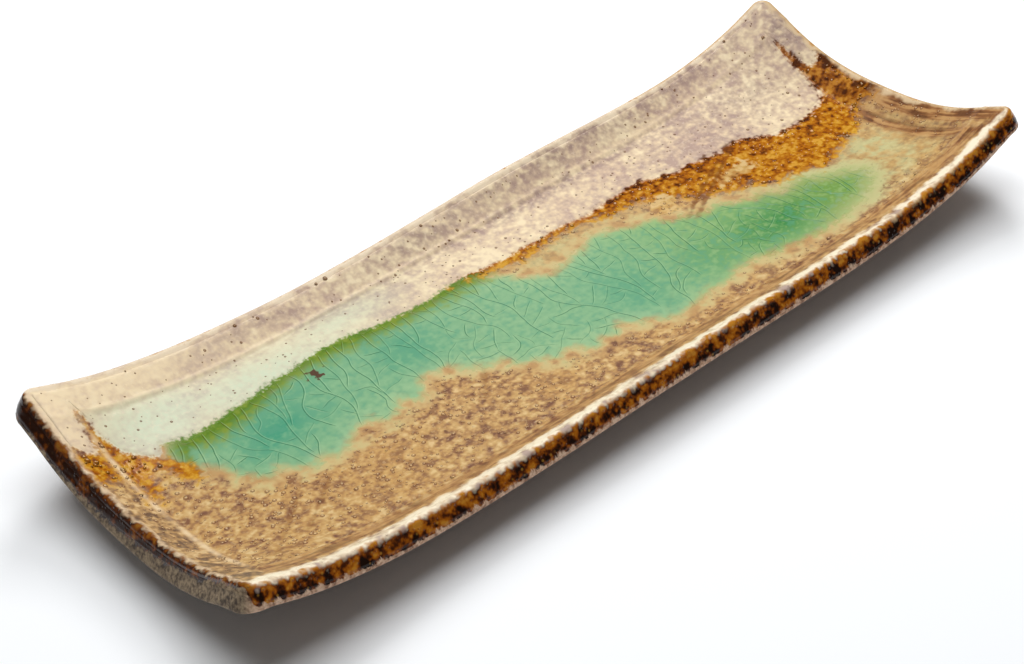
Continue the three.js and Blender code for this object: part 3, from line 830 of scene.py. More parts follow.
@dataclass(frozen=True)
class GlazeFinish:
    """Fired glazes as one continuous skin: each is a coloured glass laid over the one below it.

    Its tables name the values that the hues and their masks are made of. All glazed pieces share them, so
    no seam shows where two pieces meet.
    """

    clay: Clay
    specular: float = 0.5
    ash_roughness: float = 0.34
    grain_relief: float = 0.11
    bubble_relief: float = 0.16
    cream_relief: float = 0.05
    glass_level: float = 0.03
    glass_calm: float = 0.9
    amber_shift: float = 0.03
    wet_stroke: float = 0.07
    noise_roughness: float = 0.55
    spot_chance: Span = (1.0, 1.06)
    spot_radius: Span = (0.34, 0.1)

    # Noises: name, size of the features in millimetres, and detail
    NOISES = (("fine", 0.8, 1.0), ("small", 1.9, 1.5), ("middle", 4.6, 2.5), ("large", 16.0, 2.5))

    # Noises drawn out along the rim or down over it: name, shares of the ways along, down and lengthwise,
    # size, detail and roughness. Fingers run down the cut edge, and streaks are what a finger smoothed
    DRAWN = (("fingers", 1.0, 0.33, 1.0, 2.3, 4.0, 0.6), ("streaks", 0.1, 1.0, 0.0, 1.2, 2.0, 0.5))

    # Round spots: name, size of their cells in millimetres, and share of the cells that hold one
    SPOTS = (("froth", 1.45, 0.45), ("islands", 4.6, 0.22), ("bubble", 1.05, 0.37))

    # Mixes: name, first and second noise, and the second one's share
    MIXES = (
        ("grain", "middle", "small", 0.65), ("mottle", "small", "middle", 0.5),
        ("rough", "fine", "small", 0.5), ("brown_grain", "middle", "streaks", 0.65),
        ("amber_grain", "grain", "fine", 0.15), ("cream_grain", "grain", "large", 0.4),
        ("iron_grain", "mottle", "fine", 0.12), ("clay_grain", "fingers", "fine", 0.5),
    )

    # Sums: name, operation, and its two or three values
    SUMS = (
        ("past_crest", "ADD", "drop", "crest_reach"), ("past_iron", "SUBTRACT", "drop", "iron_start"),
        ("past_lower", "SUBTRACT", "drop", "iron_end"), ("depth", "MULTIPLY_ADD", "middle", 5.0, "pool"),
        ("iron_shade", "MULTIPLY_ADD", "iron_dark", -0.055, "iron_grain"),
    )

    # Ranges: name, value, where it starts and ends, and what it is turned into there
    RANGES = (
        # The crack ranges split each rib's painted shade from its painted highlight
        ("crack_painted_shade", "painted_crack_shading", 0, 1, 0, 1), ("crack_painted_highlight", "painted_crack_shading", 0, -1, 0, 1),
        # painted_glint_tip is the pale tip of each bubble, a painted glint
        ("halo_dark", "halo", 0, 1, 0, 1), ("painted_glint_tip", "halo", 0, -1, 0, 1),
        ("before_end", "dusk", 0, 1, 1, 0), ("ridge_highlight_gaps", "middle", 0.4, 0.6, 0.25, 0.85),
        ("warm", "large", 0.45, 0.7, 0, 0.3), ("pale_spots", "fine", 0.56, 0.68, 0, 0.4),
        ("near_amber", "amber", -1, 1, 0, 1), ("near_cream", "cream", -0.5, 0.5, 0, 1),
        ("green_depth", "depth", 1.6, 10, 0, 1), ("cloudy", "large", 0.38, 0.62, 0.65, 1.2),
        ("uneven", "middle", 0.42, 0.6, 0.45, 1), ("green_spots", "small", 0.54, 0.66, 0, 0.22),
        ("dark_grain", "grain", 0.5, 0.38, 0, 0.5), ("light_grain", "grain", 0.5, 0.66, 0, 0.28),
        ("gathered", "cream", -8, -0.4, 0.02, -0.05), ("sandy", "fine", 0.56, 0.74, 0, 0.3),
        ("thin", "mottle", 0.62, 0.38, 0.1, 0.9), ("thick", "grain", 0.4, 0.58, 0.74, 0.98),
        # below_crest_highlight darkens the crest below its top, where the painted highlight fades
        ("below_crest_highlight", "drop", 0.2, 1.5, 0, 0.85), ("iron_thin", "past_iron", 0, 1.8, 0.05, 0),
        # iron_painted_glints is the share of painted glint spots on the iron band, small at the left end
        ("iron_painted_glints", "iron_dark", 0, 1, 0.35, 0.05), ("under", "drop", 8, 10, 0, 0.8),
    )

    # Soft ragged edges: name, distance, noise that moves it, reach of that noise, and start and end
    EDGES = (
        ("sharp_pool", "pool", "mottle", 9.0, -1.8, 3.2), ("faded_pool", "pool", "mottle", 12.0, -3.0, 8.5),
        ("in_border", "pool", "mottle", 11.0, -5.0, -1.4), ("in_olive", "olive", "mottle", 11.0, -3.8, 3.0),
        ("in_amber", "amber", "mottle", 14.0, -1.6, 1.6), ("in_peach", "peach", "mottle", 12.0, -0.6, 1.2),
        ("sharp_cream", "cream", "rough", 5.0, -0.7, 0.7),
        ("rough_cream", "cream", "mottle", 11.0, -1.1, 0.5),
        ("near_stroke", "stroke", "middle", 3.0, 1.0, 0.1),
        ("in_blotch", "blotch", "small", 6.0, -0.2, 0.4),
        ("in_crest", "past_crest", "middle", 5.0, -0.8, 0.8),
        ("in_iron", "past_iron", "mottle", 8.0, -1.0, 0.7),
        ("in_clay", "past_lower", "fingers", 5.0, -0.4, 0.45),
    )

    HUES = {
        # Ochre ash, purplish brown where iron specks bleed through and pale where it is thick
        "ash": Hue(
            ((0.36, "#7a5340"), (0.43, "#966f4d"), (0.49, "#b48a58"), (0.56, "#c59f66"), (0.65, "#d9bc88")),
            "grain",
            (("#cf9f58", "warm"), ("#d8b988", "pale_spots"), ("#d9b681", "froth", 0.3),
             ("#d4b078", "islands", 0.5)),
        ),
        # Thin ash over dark clay, blue-grey to tan
        "greyed": Hue(((0.42, "#4c423d"), (0.48, "#83684f"), (0.53, "#b08a5f"), (0.6, "#d8b98a")), "mottle"),
        # Thick milky ash, yellow-grey
        "pale": Hue(((0.38, "#bf9e65"), (0.48, "#c5b27c"), (0.57, "#bfc08d")), "middle"),
        # Mauve-brown where the ash ran thin over the creases
        "browned": Hue(((0.4, "#63391f"), (0.48, "#926038"), (0.56, "#bd8f5b")), "brown_grain"),
        # Peach halo where the green glass thins out, yellow-green at the right end
        "peach": Hue(
            ((0.38, "#bb9360"), (0.48, "#c8a872"), (0.58, "#c9b57e")), "middle", (("#c1be88", "fade", 0.9),),
        ),
        # Copper in the deep glass, teal at the left and leaf green at the right
        "teal": Hue("#4c9a7a", coats=(("#3f8746", "lean"),)),
        # Copper green glass, yellow-green at its thin edge, aqua over the floor and teal where deep
        "green": Hue(
            ((0.0, "#c2b981"), (0.18, "#b2c088"), (0.4, "#9fc090"), (1.0, "#8cb68a")),
            "green_depth",
            (("#70a57c", "uneven", 0.35), ("#81a862", "lean", 0.75), ("teal", "teal", "cloudy"),
             ("#6d9130", "fade", 0.75), ("#5f9f80", "dark_grain"), ("#a3c998", "light_grain"),
             ("#9fb167", "green_spots", "lean")),
        ),
        # Olive green where the green glass overlaps the cream's edge
        "olive": Hue(((0.4, "#557a1e"), (0.49, "#67862a"), (0.58, "#7c9135")), "mottle"),
        # Painted shade on the dark side of a crack rib, with the crack's own dark line, brown in the olive
        "painted_crack_shading": Hue("#2c6f4b", coats=(("#5a5a1e", "in_olive"),)),
        # Amber that gathered dark at the far end
        "dusk": Hue(((0.42, "#4a2204"), (0.5, "#8a4a08"), (0.58, "#b87822")), "mottle"),
        # Amber iron glass, nearly black-brown where it gathered and ochre where it ran thin
        "amber": Hue(
            ((0.37, "#502502"), (0.43, "#804102"), (0.48, "#a45c03"), (0.54, "#b9790f"), (0.62, "#cf9a30")),
            "amber_depth",
            (("#d6aa58", "froth", 0.62), ("dusk", "dusk", 0.85)),
        ),
        # Milky peach ash that shows through gaps in the amber
        "inclusion": Hue(((0.42, "#b48344"), (0.5, "#c69f5c"), (0.58, "#d3b27a")), "mottle"),
        # Cream feldspar glaze, minty where it took up copper, mauve-grey where it is thin, and mauve-grey as
        # painted shade in a band beside the rear frame ridge
        "cream": Hue(
            ((0.39, "#bb9f90"), (0.47, "#d0b69c"), (0.53, "#dfc8a6"), (0.61, "#eedbb7")),
            "cream_grain",
            (("#cfd8bd", "mint", "thick"), ("#f3ddb8", "milk", "thick"), ("#967f76", "mauve_and_ridge_shade", "thin"),
             ("#ecdcc2", "sandy")),
        ),
        # Pale cream where the glaze drew back over the crest, partly a painted highlight along its top,
        # widest at the front; tan at the two ends and, towards the right, tan below the crest top where that
        # painted highlight fades
        "crest": Hue(
            ((0.36, "#b9a295"), (0.43, "#decaac"), (0.52, "#fbeed2")),
            "middle",
            (("#cfae86", "iron_dark", 0.75), ("#c7a473", "far_end", 0.7), ("#dfc9ad", "rear", 0.7),
             ("#c39a60", "below_crest_highlight", "fade")),
        ),
        # Iron round a burst bubble: purplish in the ash, brown in the amber and the cream
        "halo": Hue("#6d432e", coats=(("#5f2f06", "near_amber"), ("#70491f", "near_cream"))),
        # Iron glaze, amber with blotches that are nearly black, and pale round spots that are painted glints,
        # few at the left end
        "iron": Hue(
            ((0.43, "#1d0b04"), (0.48, "#4c2005"), (0.52, "#804108"), (0.56, "#a0590c"), (0.63, "#b87a24")),
            "iron_depth",
            (("#d19a3e", "froth", "iron_painted_glints"), ("#34190a", "iron_dark", 0.5)),
        ),
        # Bare stoneware, grey-brown and streaked at the left end and pinkish beige elsewhere
        "grey_clay": Hue(((0.38, "#4b3f34"), (0.48, "#786753"), (0.6, "#a08c71")), "clay_grain"),
        "clay": Hue(
            ((0.38, "#87634d"), (0.49, "#c09a7e"), (0.6, "#dcbb9f")),
            "clay_grain",
            (("grey_clay", "iron_dark"), ("#6a5647", "under")),
        ),
    }

    # What lies over the ash, from the lowest to the highest: hue, then the values that make its mask
    STACK = (
        ("greyed", "grey", 0.6), ("pale", "pale", 0.85), ("browned", "brown", 0.9), ("peach", "in_border"),
        # The two crack coats paint a highlight on one side of each crack rib and shade on the other
        ("green", "in_pool"), ("olive", "in_olive"), ("#b9dcb0", "crack_painted_highlight", "in_glass", 0.3),
        ("painted_crack_shading", "crack_painted_shade", "in_glass", 0.8), ("amber", "in_amber"), ("inclusion", "in_peach"),
        ("cream", "in_cream"), ("#743f12", "near_stroke", "stroke_tint", "dry", 0.65),
        # The pale ridge coat is a painted highlight along the frame ridge, and the crest coat is partly a
        # painted highlight
        ("#5b4436", "in_blotch"), ("#e6cda6", "ridge", "ridge_highlight_gaps"), ("crest", "in_crest"),
        # The pale tip coat is a painted glint on each bubble, over its thin, paler skin
        ("halo", "halo_dark", 0.93), ("#ecd3a8", "painted_glint_tip", 0.7), ("iron", "in_iron"), ("clay", "in_clay"),
    )

    # Roughness of the fired skin where each glaze lies
    ROUGHNESS = (
        (0.12, "in_pool"), (0.18, "in_amber"), (0.3, "in_cream"), (0.24, "in_crest"), (0.15, "in_iron"),
        (0.8, "in_clay"),
    )

    # Share of the ash's bubbles that shows through where other glazes lie
    BUBBLY = ((0.03, "in_pool"), (0.12, "in_cream"))

    def material(self) -> bpy.types.Material:
        """Builds the node material."""
        f = Finish("kiln fired " + self.clay.value.replace("_", " "))
        at = self._values(f)
        self._add_masks(f, at)
        hues = {}
        for name, hue in self.HUES.items():
            base = f.add("ValToRGB", {0: at[hue.over]}, stops=hue.base) if hue.over else hue.base
            hues[name] = self._coated(f, base, hue.coats, hues, at)
        colour = self._coated(f, hues["ash"], self.STACK, hues, at)
        roughness = f.levels(self.ash_roughness, [(value, at[mask]) for value, mask in self.ROUGHNESS])
        bubbly = f.levels(1.0, [(share, at[mask]) for share, mask in self.BUBBLY])
        height = f.levels(
            f.both(at["grain"], self.grain_relief),
            [
                (f.both(at["small"], self.cream_relief), at["in_cream"]),
                (self.glass_level, f.both(at["in_pool"], self.glass_calm)),
            ],
        )
        raised = {0: f.both(at["bubble"], bubbly), 1: self.bubble_relief, 2: height}
        height = f.add("Math", raised, operation="MULTIPLY_ADD")
        normal = f.add("Bump", {"Strength": 1.0, "Distance": MM, "Height": height})
        f.shade({
            "Base Color": colour, "Roughness": roughness, "Normal": normal, "IOR": 1.5,
            "Specular IOR Level": self.specular,
        })
        return f.material

    def _coated(
        self,
        f: Finish,
        base: Socket | str,
        coats: tuple[tuple[str | float, ...], ...],
        hues: dict[str, Socket | str],
        at: dict[str, Socket],
    ) -> Socket:
        """Lays coats from a table over a base.

        Args:
            f: The material under construction.
            base: Colour below the coats.
            coats: For each coat its hue, then the names or numbers whose product is its mask.
            hues: Colours by name.
            at: Values by name.

        Returns:
            The colour.
        """
        return f.layers(
            base,
            [(hues.get(hue, hue), f.both(*(at.get(mask, mask) for mask in masks))) for hue, *masks in coats],
        )

    def _values(self, f: Finish) -> dict[str, Socket]:
        """Fields of the mesh, and the noises, mixes, sums and ranges of the tables, by name."""
        here = f.add("TexCoord", out="Object")
        fields = (*GlazeMap.FIELDS, *RimMap.FIELDS, "drop", "halo", "painted_crack_shading")
        at = {name: f.add("Attribute", out="Fac", attribute_name=name) for name in fields}
        for name, size, detail in self.NOISES:
            at[name] = f.add(
                "TexNoise",
                {"Vector": here, "Scale": per(size), "Detail": detail, "Roughness": self.noise_roughness},
            )
        for name, along, down, lengthwise, size, detail, roughness in self.DRAWN:
            place = f.add("SeparateXYZ", {0: here})
            way = f.add("Math", {0: place, 1: place.node.outputs[1]}, operation="ADD")
            parts = {0: f.both(way, along), 1: f.both(at["drop"], down * MM), 2: f.both(place, lengthwise)}
            vector = f.add("CombineXYZ", parts)
            at[name] = f.add(
                "TexNoise", {"Vector": vector, "Scale": per(size), "Detail": detail, "Roughness": roughness}
            )
        for name, size, share in self.SPOTS:
            at[name] = self._cells(f, here, size, share)
        for name, first, second, share in self.MIXES:
            at[name] = f.add("Mix", {0: share, 2: at[first], 3: at[second]})
        for name, operation, *parts in self.SUMS:
            inputs = {k: at.get(part, part) for k, part in enumerate(parts)}
            at[name] = f.add("Math", inputs, operation=operation)
        for name, source, *limits in self.RANGES:
            at[name] = f.add("MapRange", {0: at[source]} | dict(enumerate(limits, 1)))
        shift = f.levels(self.amber_shift, [(at["gathered"], at["lean"])])
        at["amber_depth"] = f.add("Math", {0: at["amber_grain"], 1: shift}, operation="ADD")
        at["iron_depth"] = f.add("Math", {0: at["iron_shade"], 1: at["iron_thin"]}, operation="ADD")
        return at

    def _cells(self, f: Finish, here: Socket, size: float, share: float) -> Socket:
        """Round spots in a share of the cells of a cell pattern of one size."""
        cell = f.add("TexVoronoi", {"Vector": here, "Scale": per(size)})
        chance = f.add("SeparateColor", {0: cell.node.outputs["Color"]})
        never, always = self.spot_chance
        kept = f.add("MapRange", {0: chance, 1: never - share, 2: always - share})
        outer, inner = self.spot_radius
        dome = f.add("MapRange", {0: cell, 1: outer, 2: inner}, interpolation_type="SMOOTHSTEP")
        return f.both(dome, kept)

    def _add_masks(self, f: Finish, at: dict[str, Socket]) -> None:
        """Adds where each coat lies, with ragged edges."""
        for name, distance, noise, *limits in self.EDGES:
            at[name] = f.edge_mask(at[distance], at[noise], *limits)
        at["in_pool"] = f.levels(at["sharp_pool"], [(at["faded_pool"], at["fade"])])
        at["in_glass"] = f.add("Math", {0: at["in_pool"], 1: at["in_olive"]}, operation="MAXIMUM")
        frayed = f.both(at["lean"], at["before_end"])
        at["in_cream"] = f.levels(at["sharp_cream"], [(at["rough_cream"], frayed)])
        at["dry"] = f.levels(1.0, [(self.wet_stroke, at["in_pool"])])


@dataclass(frozen=True)
class ClayFinish:
    """Bare fired stoneware: matte, grey-brown, with fine grog."""

    clay: Clay
    light: str = "#b8967c"
    dark: str = "#7d6654"

    def material(self) -> bpy.types.Material:
        """Builds the node material."""
        f = Finish("bare " + self.clay.value.replace("_", " "))
        here = f.add("TexCoord", out="Object")
        grog = f.add("TexNoise", {"Vector": here, "Scale": per(0.7), "Detail": 3.0, "Roughness": 0.7})
        cloud = f.add("TexNoise", {"Vector": here, "Scale": per(9), "Detail": 4.0, "Roughness": 0.6})
        mean = f.add("Mix", {0: 0.5, 2: grog, 3: cloud})
        colour = f.add("ValToRGB", {0: mean}, stops=((0.4, self.dark), (0.6, self.light)))
        normal = f.add("Bump", {"Strength": 0.4, "Distance": 0.3 * MM, "Height": grog})
        f.shade({"Base Color": colour, "Normal": normal, "Roughness": 0.85})
        return f.material


def dress(
    mesh: bpy.types.Mesh, finish: GlazeFinish | ClayFinish, nodes: tuple[str, ...] = ()
) -> bpy.types.Object:
    """Puts a mesh into the scene as a piece of the plate.

    Args:
        mesh: The piece's mesh, whose name the piece takes.
        finish: The finish that dresses it.
        nodes: CAD nodes that it stands for.

    Returns:
        The piece.
    """
    piece = place_in_scene(mesh.name, mesh)
    mesh.materials.append(finish.material())
    if nodes:
        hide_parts(*nodes)
    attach(piece, "root")
    LOG.info("%s: %d faces", piece.name, len(mesh.polygons))
    return piece


@dataclass(frozen=True)
class Surface:
    """What every glazed piece shares: the form, the glaze map and the rim map."""

    form: PressedForm = PressedForm()
    glazes: GlazeMap = GlazeMap()
    rim: RimMap = RimMap()

    def paint(self, mesh: bpy.types.Mesh) -> None:
        """Writes the glaze and rim fields at each point of a mesh as point attributes."""
        flat = np.empty(3 * len(mesh.vertices), np.float32)
        mesh.vertices.foreach_get("co", flat)
        x, y = (flat.reshape(-1, 3)[:, :2].astype(float) / MM).T
        found = self.glazes.fields(x, y, self.form) | self.rim.fields(x, y)
        for name, values in found.items():
            write_field(mesh, name, values)


@dataclass(frozen=True)
class AshCoat:
    """Ochre ash glaze over the whole top face, over the crest and a little way down the cut edge."""

    surface: Surface
    floor_step: float = 0.72
    flange_step: float = 0.42
    crest_rows: int = 8
    skirt: float = 1.0
    skirt_rows: tuple[float, ...] = (0.5, 0.94, 1.0)
    coat: float = 0.5

    def build(self) -> bpy.types.Object:
        """Builds and dresses the coat: top face, rounded crest, skirt, and a coarse lower face."""
        form = self.surface.form
        x, y, out_x, out_y = PlanGrid(form, self.floor_step, self.flange_step).places()
        skin = Skin()
        top = skin.add(x, y, form.face(x, y), self.surface.rim.crest_offset(x, y))
        skin.grid(top)
        section = RimSection.around(form, *(edge_loop(v) for v in (x, y, out_x, out_y)))
        crest = section.rounding_length
        ways = [k * crest / self.crest_rows for k in range(1, self.crest_rows + 1)]
        ways += [crest + share * self.skirt for share in self.skirt_rows]
        outer = [section.point(way, 0) for way in ways]
        lower = skin.wall(edge_loop(top), outer + [section.point(ways[-1], self.coat)])
        stride = PlanGrid.lower_stride
        deep = form.face(x, y)[::stride, ::stride] - self.coat
        inner = skin.add(x[::stride, ::stride], y[::stride, ::stride], deep)
        skin.fan_strip(lower, edge_loop(inner))
        skin.grid(inner, downwards=True)
        mesh = skin.mesh("ash_coat")
        self.surface.paint(mesh)
        return dress(mesh, GlazeFinish(Clay.ASH), ("ash_glaze_coat",))


@dataclass(frozen=True)
class Overglaze:
    """A glaze poured over the ash coat, as a lens that swells from its outline to its full thickness."""

    surface: Surface
    name: str
    node: str
    clay: Clay
    rear: Points
    front: Points
    inside: str
    thickness: float
    swell: float
    step: float = 0.8
    sunk: float = 0.15
    deep: float = 0.35
    widest: float = 123.4
    scoring: float = 0.3
    rim_gap: float = 0.4
    first_rise: float = -0.2

    def stand(self, x: Array, y: Array) -> Array:
        """Height over the pressed face.

        It is -sunk + (thickness + sunk) s, where s rises from 0 to 1 within the swell from the outline.
        """
        distance = getattr(self.surface.glazes, self.inside)(x, y)
        distance = np.minimum(distance, -self.surface.rim.crest_offset(x, y) - self.rim_gap)
        swollen = smooth_step(distance, self.first_rise, self.swell)
        return (self.thickness + self.sunk) * swollen - self.sunk

    def build(self) -> bpy.types.Object:
        """Builds and dresses the lens, whose lower face lies deep under the ash."""
        form = self.surface.form
        start = max(self.rear[0][0], self.front[0][0])
        end = min(self.rear[-1][0], self.front[-1][0])
        start, end = max(start, -self.widest), min(end, self.widest)
        columns = np.linspace(start + self.step / 2, end - self.step / 2, int((end - start) / self.step))
        low, high = height_of_line(columns, self.front), height_of_line(columns, self.rear)
        rows = max(int((high - low).max() / self.step), 2)
        x, share = np.meshgrid(columns, np.linspace(0, 1, rows), indexing="ij")
        y = low[:, None] + (high - low)[:, None] * share
        rim = self.surface.rim.crest_offset(x, y)
        face = form.face(x, y, self.scoring)
        skin = Skin()
        top = skin.add(x, y, face + self.stand(x, y), rim)
        under = skin.add(x, y, face - self.deep, rim)
        skin.grid(top)
        skin.grid(under, downwards=True)
        skin.strip(edge_loop(top), edge_loop(under))
        mesh = skin.mesh(self.name)
        self.surface.paint(mesh)
        return dress(mesh, GlazeFinish(self.clay), (self.node,))


@dataclass
class CrackleNet:
    """Crackle of the green glass: cracks as very low ribs, with painted shade on one side and a painted
    highlight on the other.

    Long cracks run across the plate with a slow wander, loose ones fill the gaps and short ones branch off.
    Each stops at the pool's outline, at an older crack or at its greatest length; a branch is kept only if it
    meets the outline or an older crack, and starts only where there is room.
    """

    glass: Overglaze
    seed: int = 4
    step: float = 0.45
    cell: float = 0.5
    course: float = math.radians(-98)
    long_gap: Span = (1.8, 4.2)
    long_length: Span = (14, 60)
    long_spread: float = 0.16
    long_wander: float = 0.028
    loose: int = 300
    loose_length: Span = (8, 25)
    loose_spread: float = 0.25
    branches: int = 2500
    branch_length: Span = (6, 18)
    branch_turn: Span = (1.0, 1.6)
    branch_gap: float = 0.9
    short_wander: float = 0.05
    kept_turn: float = 0.8
    lean_back: float = 0.08
    room: float = 2.0
    corner: Span = (-110.0, -36.0)
    extent: Span = (212.0, 66.0)
    reach: Span = (-103.0, 92.0)
    fewest_points: int = 7
    outline_gap: float = 0.5
    first_step: float = 1.0
    taper_steps: int = 4
    tip_width: float = 0.25
    strength: Span = (0.5, 1.0)
    # Rib section: way aside, lift, and painted light, 1 for painted shade and -1 for a painted highlight
    section: tuple[tuple[float, float, float], ...] = (
        (-0.38, -0.045, 1.0), (-0.10, 0.045, 1.0), (0.14, 0.045, -1.0), (0.38, -0.045, -1.0),
    )

    def __post_init__(self) -> None:
        """Lays the grid that holds the pool's inside and which crack runs through each cell."""
        self.random = np.random.default_rng(self.seed)
        shape = (np.array(self.extent) / self.cell).astype(int)
        x, y = (self.corner[k] + self.cell * np.arange(shape[k]) for k in (0, 1))
        depth = self.glass.surface.glazes.pool(*np.meshgrid(x, y, indexing="ij"))
        self.inside = depth > self.outline_gap
        self.owner = np.zeros(self.inside.shape, int)
        self.cracks = []

    def _crowded(self, place: Array, reach: float, parent: int = 0) -> bool:
        """Whether a crack other than the parent runs within the reach of a place."""
        i, j = ((place - self.corner) / self.cell).astype(int)
        n = round(reach / self.cell)
        near = self.owner[max(i - n, 0):i + n + 1, max(j - n, 0):j + n + 1]
        return bool(np.any((near != 0) & (near != parent)))

    def _grow(
        self, place: Array, course: float, longest: float, wander: float, joined: bool = False
    ) -> None:
        """Grows one crack.

        Its course turns by a smoothed random walk and leans back to where it set out for.

        Args:
            place: Plan place of its start.
            course: Its first direction in plan, as an angle from x.
            longest: Most length.
            wander: Spread of the turn at each step.
            joined: Whether it is left out unless it runs into an older crack or the outline.
        """
        number = len(self.cracks) + 1
        path, cells = [place], []
        heading, turn = course, 0.0
        met = False
        while not met and len(path) < longest / self.step:
            turn = self.kept_turn * turn + self.random.normal(0, wander)
            heading += turn - self.lean_back * (heading - course)
            ahead = self.step * np.array([math.cos(heading), math.sin(heading)])
            place = place + ahead
            path.append(place)
            at = tuple(((place - self.corner) / self.cell).astype(int))
            met = not self.inside[at] or self.owner[at] != 0
            cells.append(at)
        if len(path) < self.fewest_points or joined and not met:
            return
        if met:
            path.append(place + ahead)
        for i, j in cells[:-1]:
            self.owner[i:i + 2, j:j + 2] = number
        self.cracks.append(np.array(path))

    def _spread(self) -> None:
        """Grows the long cracks from the rear outline, loose ones inside, and branches."""
        glazes = self.glass.surface.glazes
        x, last = self.reach
        while x < last:
            rear = height_of_line(np.array([x]), glazes.pool_rear)[0]
            start = np.array([x, rear - self.first_step])
            course = self.course + self.random.normal(0, self.long_spread)
            self._grow(start, course, self.random.uniform(*self.long_length), self.long_wander)
            x += self.random.uniform(*self.long_gap)
        free = np.argwhere(self.inside)
        for k in self.random.integers(0, len(free), self.loose):
            start = self.corner + self.cell * free[k]
            if not self._crowded(start, 2 * self.room):
                course = self.course + self.random.normal(0, self.loose_spread)
                self._grow(start, course, self.random.uniform(*self.loose_length), self.short_wander)
        for _ in range(self.branches):
            parent = self.random.integers(0, len(self.cracks))
            path = self.cracks[parent]
            k = self.random.integers(0, len(path) - 1)
            along = path[k + 1] - path[k]
            turned = self.random.choice((-1, 1)) * self.random.uniform(*self.branch_turn)
            course = math.atan2(along[1], along[0]) + turned
            start = path[k] + self.branch_gap * np.array([math.cos(course), math.sin(course)])
            if not self._crowded(start, self.room, parent + 1):
                longest = self.random.uniform(*self.branch_length)
                self._grow(start, course, longest, self.short_wander, joined=True)

    def build(self) -> bpy.types.Object:
        """Builds and dresses the ribs, which lie on the glass and taper to nothing at their ends."""
        self._spread()
        surface = self.glass.surface
        form = surface.form
        skin = Skin()
        painted_shadings = []
        for path in self.cracks:
            along = np.gradient(path, axis=0)
            along /= np.linalg.norm(along, axis=1)[:, None]
            steps = np.arange(len(path))
            taper = np.minimum(np.minimum(steps, steps[::-1]) / self.taper_steps + self.tip_width, 1)
            strength = self.random.uniform(*self.strength)
            loops = []
            for aside, lift, painted_shading in self.section:
                x = path[:, 0] - along[:, 1] * aside * taper
                y = path[:, 1] + along[:, 0] * aside * taper
                glass = form.face(x, y, self.glass.scoring) + self.glass.stand(x, y)
                z = np.maximum(glass, form.face(x, y)) + lift * taper
                loops.append(skin.add(x, y, z, surface.rim.crest_offset(x, y)))
                # Painted shade on one side of the rib, painted highlight on the other
                painted_shadings.append(np.full(len(path), painted_shading * strength))
            grid = np.array(loops + loops[:1]).T
            skin.grid(grid)
            skin.faces.append(grid[:1, :4])
            skin.faces.append(grid[-1:, 3::-1])
        mesh = skin.mesh("crackle_net")
        mesh.polygons.foreach_set("use_smooth", np.zeros(len(mesh.polygons), bool))
        surface.paint(mesh)
        write_field(mesh, "painted_crack_shading", np.concatenate(painted_shadings))
        return dress(mesh, GlazeFinish(Clay.GREEN))


class Zone(Enum):
    """Parts of the glazed face that bubbles or specks stand in."""

    BUBBLY = "ochre and amber"
    CREAM = "cream"


